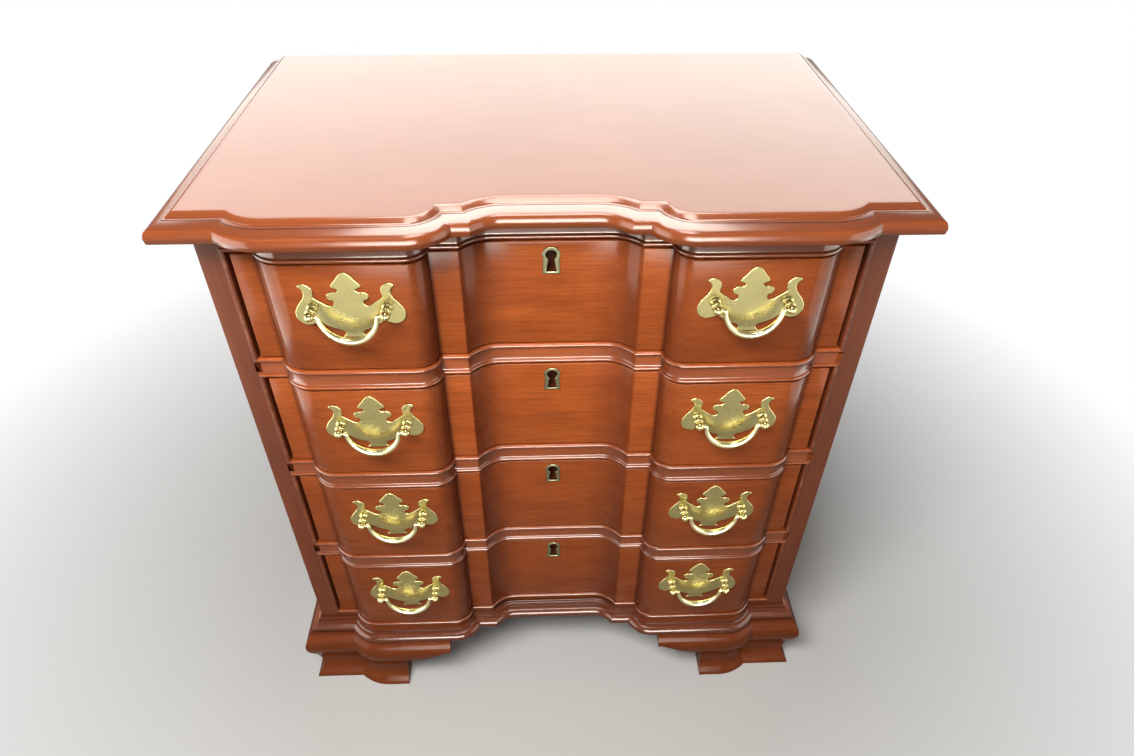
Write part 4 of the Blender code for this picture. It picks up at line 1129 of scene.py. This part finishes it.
# Batwing plate, right half, as (x, z) in shares of its half width and of its rise or fall
CUSP = "cusp"
PLATE_MARKS = (
    (0.076, 0.950), (0.184, 0.771), (0.262, 0.634), (0.264, 0.594), (0.205, 0.552), (0.161, 0.511),
    (0.182, 0.459), (0.233, 0.440, CUSP), (0.290, 0.447), (0.363, 0.388), (0.379, 0.329), (0.346, 0.232),
    (0.287, 0.206), (0.267, 0.156), (0.276, 0.092), (0.322, 0.053), (0.392, 0.071), (0.482, 0.153),
    (0.624, 0.295, CUSP), (0.606, 0.440), (0.610, 0.540), (0.648, 0.616), (0.733, 0.690), (0.813, 0.680),
    (0.861, 0.624, CUSP), (0.782, 0.492), (0.803, 0.303), (0.882, 0.153), (0.946, 0.027), (0.996, -0.177),
    (0.957, -0.420), (0.826, -0.548), (0.700, -0.520), (0.593, -0.446, CUSP), (0.459, -0.600),
    (0.306, -0.715), (0.210, -0.764, CUSP), (0.165, -0.860), (0.226, -1.000, CUSP),
)
# A post below its ball as (radius, height above the plate)
POST_MARKS = ((0.0029, 0.0107), (0.0033, 0.0102), (0.0046, 0.0098), (0.0052, 0.0090), (0.0046, 0.0082),
              (0.0038, 0.0078), (0.0037, 0.0070), (0.0040, 0.0054), (0.0040, 0.0038), (0.0038, 0.0030),
              (0.0042, 0.0025), (0.0050, 0.0021), (0.0055, 0.0014), (0.0056, 0.0007))
POST_FOOT = [(0.0056, -0.0003), (0.0, -0.0003)]
BALL_SWEEP = radians(142)
BALL_STEPS = 12
POST_SIDES = 28
DRILL_SIDES = 16


def plate_outline(brasses):
    """The plate's outline, smooth between its cusps, as points."""
    right = []
    for across, up, *cusp in PLATE_MARKS:
        tall = brasses.plate_rise if up > 0 else brasses.plate_fall
        right.append((across * brasses.plate_half, up * tall, "VECTOR" if cusp else "AUTO"))
    marks = [(0.0, brasses.plate_rise, "AUTO")] + right + [(-x, z, kind) for x, z, kind in reversed(right)]
    drawn = fitted(bpy.data.curves.new("plate_outline", "CURVE"), dimensions="2D", fill_mode="NONE",
                   resolution_u=5)
    spline = drawn.splines.new("BEZIER")
    spline.bezier_points.add(len(marks) - 1)
    for point, (x, z, kind) in zip(spline.bezier_points, marks):
        fitted(point, co=(x, z, 0), handle_left_type=kind, handle_right_type=kind)
    spline.use_cyclic_u = True
    mesh = settled(carrier("plate_outline", drawn))
    return [(vert.co.x, vert.co.y) for vert in mesh.vertices]


def post_profile(brasses, reach):
    """A turned post from the tip of its ball to its foot, as (radius, height above the plate)."""
    ball = brasses.post_ball
    profile = [(0.0, reach + ball)]
    profile += [(ball * sin(a), reach + ball * cos(a)) for a in turns(BALL_SWEEP, BALL_STEPS)[1:]]
    return profile + smooth_marks(POST_MARKS, 2) + POST_FOOT


def pull_pattern(brasses):
    """One plate with its two drilled posts, drawn flat with the posts along +Z."""
    face = brasses.plate_thickness / 2
    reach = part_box("drawer_1_left_pull")[1].y - brasses.plate_thickness - pivot(1, "left").y
    bore = brasses.bail_pin + brasses.pin_room
    half = brasses.post_ball + brasses.pin_room
    shape = bmesh.new()
    outline = plate_outline(brasses)
    shape.from_mesh(flat_curve("plate", [outline], brasses.plate_thickness, brasses.plate_bevel))
    for _, hand in HANDS:
        post = turned("post", post_profile(brasses, reach), POST_SIDES)
        post.transform(Matrix.Translation((0, 0, face)))
        drill = turned("drill", [(0.0, half), (bore, half), (bore, -half), (0.0, -half)], DRILL_SIDES)
        drill.transform(Matrix.Translation((-hand * brasses.post_ball, 0, face + reach))
                        @ Matrix.Rotation(QUARTER_TURN, 4, "Y"))
        bored = cut(post, [drill])
        bored.transform(Matrix.Translation((hand * brasses.post_spacing / 2, 0, 0)))
        for polygon in bored.polygons:
            polygon.material_index = 1
        shape.from_mesh(bored)
    return baked(shape, "pull_pattern")


class CHEST_OT_pulls(bpy.types.Operator):
    """Make the batwing plates with their turned posts"""
    bl_idname = "chest.pulls"
    bl_label = "Pull plates and posts"

    def execute(self, context):
        brasses = context.scene.chest_brasses
        colours = context.scene.chest_finishes
        finish = polished_brass("polished_brass_plates", colours.brass, colours.brass_dull, BRASS_ROUGHNESS)
        # Posts in the paler brass, a painted sheen
        bright = polished_brass("polished_brass_posts", colours.brass_bright, colours.brass_grip,
                                POST_ROUGHNESS)
        pattern = pull_pattern(brasses)
        for number, word in PULLS:
            node = f"drawer_{number}_{word}_pull"
            turn = pivot(number, word)
            plate_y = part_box(node)[1].y - brasses.plate_thickness / 2
            mesh = upright(pattern.copy(), (turn.x, plate_y, turn.z))
            plate = add_piece(f"drawer_{number}_{word}_plate", mesh, finish, f"drawer_{number}",
                              "polished_brass", node)
            plate.data.materials.append(bright)
        return {"FINISHED"}


# A bail's shoulder as (outward of the arm, up, radius) in shares of the arm's radius
SHOULDER = ((1.0, 0.0, 0.9), (0.45, -0.12, 1.0), (0.1, -0.6, 1.0))
PIN_STEP = 0.0004
BOW_STEPS = 40


def bail_pattern(brasses):
    """A pin into each post and a bow that thickens to its middle, hung from the pivot."""
    half, end = brasses.bail_half, brasses.bail_end
    start = [(brasses.post_spacing / 2 - brasses.pin_room, 0.0, brasses.bail_pin),
             (half + end + PIN_STEP, 0.0, brasses.bail_pin)]
    start += [(half + end * out, end * up, end * thick) for out, up, thick in SHOULDER]
    bow = [(half * cos(a), -brasses.bail_drop * sin(a),
            end + brasses.bail_swell * sin(a) ** 2) for a in turns(pi, BOW_STEPS)[2:-2]]
    route = start + bow + [(-x, z, radius) for x, z, radius in reversed(start)]
    drawn = fitted(bpy.data.curves.new("bail", "CURVE"), dimensions="3D", bevel_depth=1.0,
                   bevel_resolution=5, use_fill_caps=True)
    spline = drawn.splines.new("POLY")
    spline.points.add(len(route) - 1)
    for point, (x, z, radius) in zip(spline.points, route):
        fitted(point, co=(x, 0, z, 1), radius=radius)
    return welded(settled(carrier("bail", drawn)))


class CHEST_OT_bails(bpy.types.Operator):
    """Make the eight swinging bails"""
    bl_idname = "chest.bails"
    bl_label = "Bails"

    def execute(self, context):
        colours = context.scene.chest_finishes
        # Bails in the paler brass, a painted sheen
        finish = polished_brass("polished_brass_bails", colours.brass_bright, colours.brass_grip,
                                BRASS_ROUGHNESS)
        pattern = bail_pattern(context.scene.chest_brasses)
        for number, word in PULLS:
            mesh = pattern.copy()
            mesh.transform(Matrix.Translation(pivot(number, word)))
            add_piece(f"drawer_{number}_{word}_bow", mesh, finish, f"drawer_{number}_{word}_bail_ring",
                      "polished_brass", f"drawer_{number}_{word}_bail")
        return {"FINISHED"}


# Stage

# Lights as (name, place, target, (width, height), setting of its power, share of that power).
# Lamps aren't seen in reflections, and cards are seen only there.
LAMPS = (
    ("soft_box", (-0.4, -0.95, 1.75), (0.0, -0.15, 0.55), (0.85, 0.5), "key", 1.0),
    ("fill", (0.0, -2.4, 0.7), (0.0, -0.2, 0.5), (1.6, 1.0), "fill", 1.0),
)
CARDS = (
    ("front_panel", (0.0, -2.4, 0.51), (0.0, -0.2, 0.51), (1.3, 1.0), "panel", 1.0),
    ("bright_card", (0.0, 1.25, 1.413), (0.0, -0.05, 0.663), (2.9, 1.0), "card", 1.0),
    ("overhead_card", (0.0, 0.55, 2.0), (0.0, 0.55, 0.0), (0.95, 1.1), "overhead", 1.0),
    ("brow_card", (0.0, -0.35, 2.0), (0.0, -0.35, 0.0), (0.45, 0.5), "overhead", 0.22),
    ("left_card", (-0.95, -0.5, 0.46), (0.0, -0.4, 0.46), (1.0, 0.9), "side_card", 1.0),
    ("right_card", (0.95, -0.5, 0.46), (0.0, -0.4, 0.46), (1.0, 0.9), "side_card", 0.6),
)
CARD_COLOUR = (1.0, 0.975, 0.90)
FLOOR_REACH = 12.0
FADE_REACH = 2.0


def lay_floor(stage):
    """A pale floor that fades to white away from the chest, and that polished things see lighter far off."""
    shape = bmesh.new()
    bmesh.ops.create_grid(shape, x_segments=2, y_segments=2, size=FLOOR_REACH)
    mesh = baked(shape, "pale_floor")
    recipe = Recipe("pale_floor")
    seen = recipe.add("ShaderNodeLightPath", "Is Camera Ray")
    shine = recipe.add("ShaderNodeLightPath", "Is Glossy Ray")
    cloud = recipe.noise((1.5, 1.5, 1.5), 2.0)
    tint = recipe.mix(recipe.math("MULTIPLY", cloud, 0.06), stage.floor, (0.6, 0.6, 0.6))
    tint = recipe.mix(seen, recipe.mix(shine, stage.shade, stage.sheen), tint)
    recipe.set(Base_Color=tint, Roughness=0.6, Specular_IOR_Level=0.0)
    away = recipe.add("ShaderNodeVectorMath", "Value", {0: recipe.place}, operation="LENGTH")
    far = recipe.math("DIVIDE", away, FADE_REACH)
    near_fade = recipe.math("MULTIPLY", recipe.ramp(far, (0.22, 0.0), (0.62, 1.0)), seen)
    behind = recipe.ramp(recipe.along("Y"), (0.25, 0.0), (0.8, 0.75))
    lighter = recipe.math("MAXIMUM", recipe.ramp(far, (0.40, 0.0), (0.57, 0.42), (0.9, 0.3)), behind)
    far_fade = recipe.math("MULTIPLY", lighter, shine)
    shaders = {"Fac": recipe.math("ADD", near_fade, far_fade), 1: recipe.shader.outputs["BSDF"],
               2: recipe.add("ShaderNodeEmission", "Emission")}
    blend = recipe.add("ShaderNodeMixShader", "Shader", shaders)
    feed(recipe.tree.nodes["Material Output"].inputs["Surface"], blend)
    mesh.materials.append(recipe.material)
    carrier("pale_floor", mesh)


def light_sky(scene, stage):
    """An even white light all round, which the camera sees as white."""
    scene.world = fitted(bpy.data.worlds.new("studio"), use_nodes=True)
    tree = scene.world.node_tree
    level = stage.sky
    for name, strength in (("Is Glossy Ray", stage.far), ("Is Camera Ray", 1.0)):
        ray = wire(tree, "ShaderNodeLightPath", name)
        level = wire(tree, "ShaderNodeMix", "Result", {"Factor": ray, "A": level, "B": strength})
    background = tree.nodes["Background"].inputs
    feed(background["Color"], (1.0, 1.0, 1.0))
    feed(background["Strength"], level)


def hang_light(stage, name, place, target, spread, setting, part):
    lamp = fitted(bpy.data.lights.new(name, "AREA"), shape="RECTANGLE", size=spread[0], size_y=spread[1],
                  energy=getattr(stage, setting) * part)
    aim = (Vector(target) - Vector(place)).to_track_quat("-Z", "Y").to_euler()
    return fitted(carrier(name, lamp), location=place, rotation_euler=aim)


def place_camera(scene, stage):
    """The camera from its pitch, yaw and roll."""
    lens = fitted(bpy.data.cameras.new("camera"), sensor_fit="HORIZONTAL", sensor_width=SENSOR_WIDTH,
                  lens=SENSOR_WIDTH * stage.lens / IMAGE_WIDTH, clip_start=0.01)
    ahead = Vector((sin(stage.yaw) * cos(stage.pitch), cos(stage.yaw) * cos(stage.pitch),
                    -sin(stage.pitch)))
    right = Vector((cos(stage.yaw), -sin(stage.yaw), 0.0))
    down = ahead.cross(right)
    across = cos(stage.roll) * right + sin(stage.roll) * down
    up = sin(stage.roll) * right - cos(stage.roll) * down
    camera = carrier("camera", lens)
    place = Vector(stage.camera) + Vector((0.0, Places(scene).face_y, 0.0))
    turn = Matrix((across, up, -ahead)).transposed().to_4x4()
    camera.matrix_world = Matrix.Translation(place) @ turn
    scene.camera = camera


class CHEST_OT_stage(bpy.types.Operator):
    """Lay the floor, hang the lights and place the camera"""
    bl_idname = "chest.stage"
    bl_label = "Floor, lights and camera"

    def execute(self, context):
        scene = context.scene
        stage = scene.chest_stage
        scene.view_settings.view_transform = "Standard"
        lay_floor(stage)
        light_sky(scene, stage)
        for light in LAMPS:
            hang_light(stage, *light).visible_glossy = False
        for light in CARDS:
            card = fitted(hang_light(stage, *light), visible_diffuse=False, visible_camera=False)
            card.data.color = CARD_COLOUR
        place_camera(scene, stage)
        return {"FINISHED"}


# Panel and registering

OPERATORS = (
    CHEST_OT_top, CHEST_OT_sides, CHEST_OT_rails, CHEST_OT_inner_panels, CHEST_OT_base,
    CHEST_OT_front_feet, CHEST_OT_rear_feet, CHEST_OT_drawer_fronts, CHEST_OT_drawer_boxes,
    CHEST_OT_keyholes, CHEST_OT_pulls, CHEST_OT_bails, CHEST_OT_stage,
)
GROUPS = {
    "chest_plan": ChestPlan, "chest_mouldings": ChestMouldings, "chest_drawers": ChestDrawers,
    "chest_brasses": ChestBrasses, "chest_finishes": ChestFinishes, "chest_stage": ChestStage,
}


class CHEST_PT_sidebar(bpy.types.Panel):
    """Lists the chest's pieces and the sizes and colours that make them"""
    bl_idname = "CHEST_PT_sidebar"
    bl_label = "Block-front chest"
    bl_space_type = "VIEW_3D"
    bl_region_type = "UI"
    bl_category = "Chest"

    def draw(self, context):
        for operator in OPERATORS:
            self.layout.operator(operator.bl_idname)
        for name, group in GROUPS.items():
            box = self.layout.box()
            box.label(text=group.__doc__)
            for key in group.__annotations__:
                box.prop(getattr(context.scene, name), key)


CLASSES = (*GROUPS.values(), *OPERATORS, CHEST_PT_sidebar)


def register():
    for made in CLASSES:
        bpy.utils.register_class(made)
    for name, group in GROUPS.items():
        setattr(bpy.types.Scene, name, PointerProperty(type=group))


def unregister():
    for name in GROUPS:
        delattr(bpy.types.Scene, name)
    for made in reversed(CLASSES):
        bpy.utils.unregister_class(made)


def main():
    register()
    bpy.ops.chest.stage()
    bpy.ops.chest.top()
    bpy.ops.chest.sides()
    bpy.ops.chest.rails()
    bpy.ops.chest.inner_panels()
    bpy.ops.chest.base()
    bpy.ops.chest.front_feet()
    bpy.ops.chest.rear_feet()
    bpy.ops.chest.drawer_fronts()
    bpy.ops.chest.drawer_boxes()
    bpy.ops.chest.keyholes()
    bpy.ops.chest.pulls()
    bpy.ops.chest.bails()


if __name__ == "__main__":
    main()
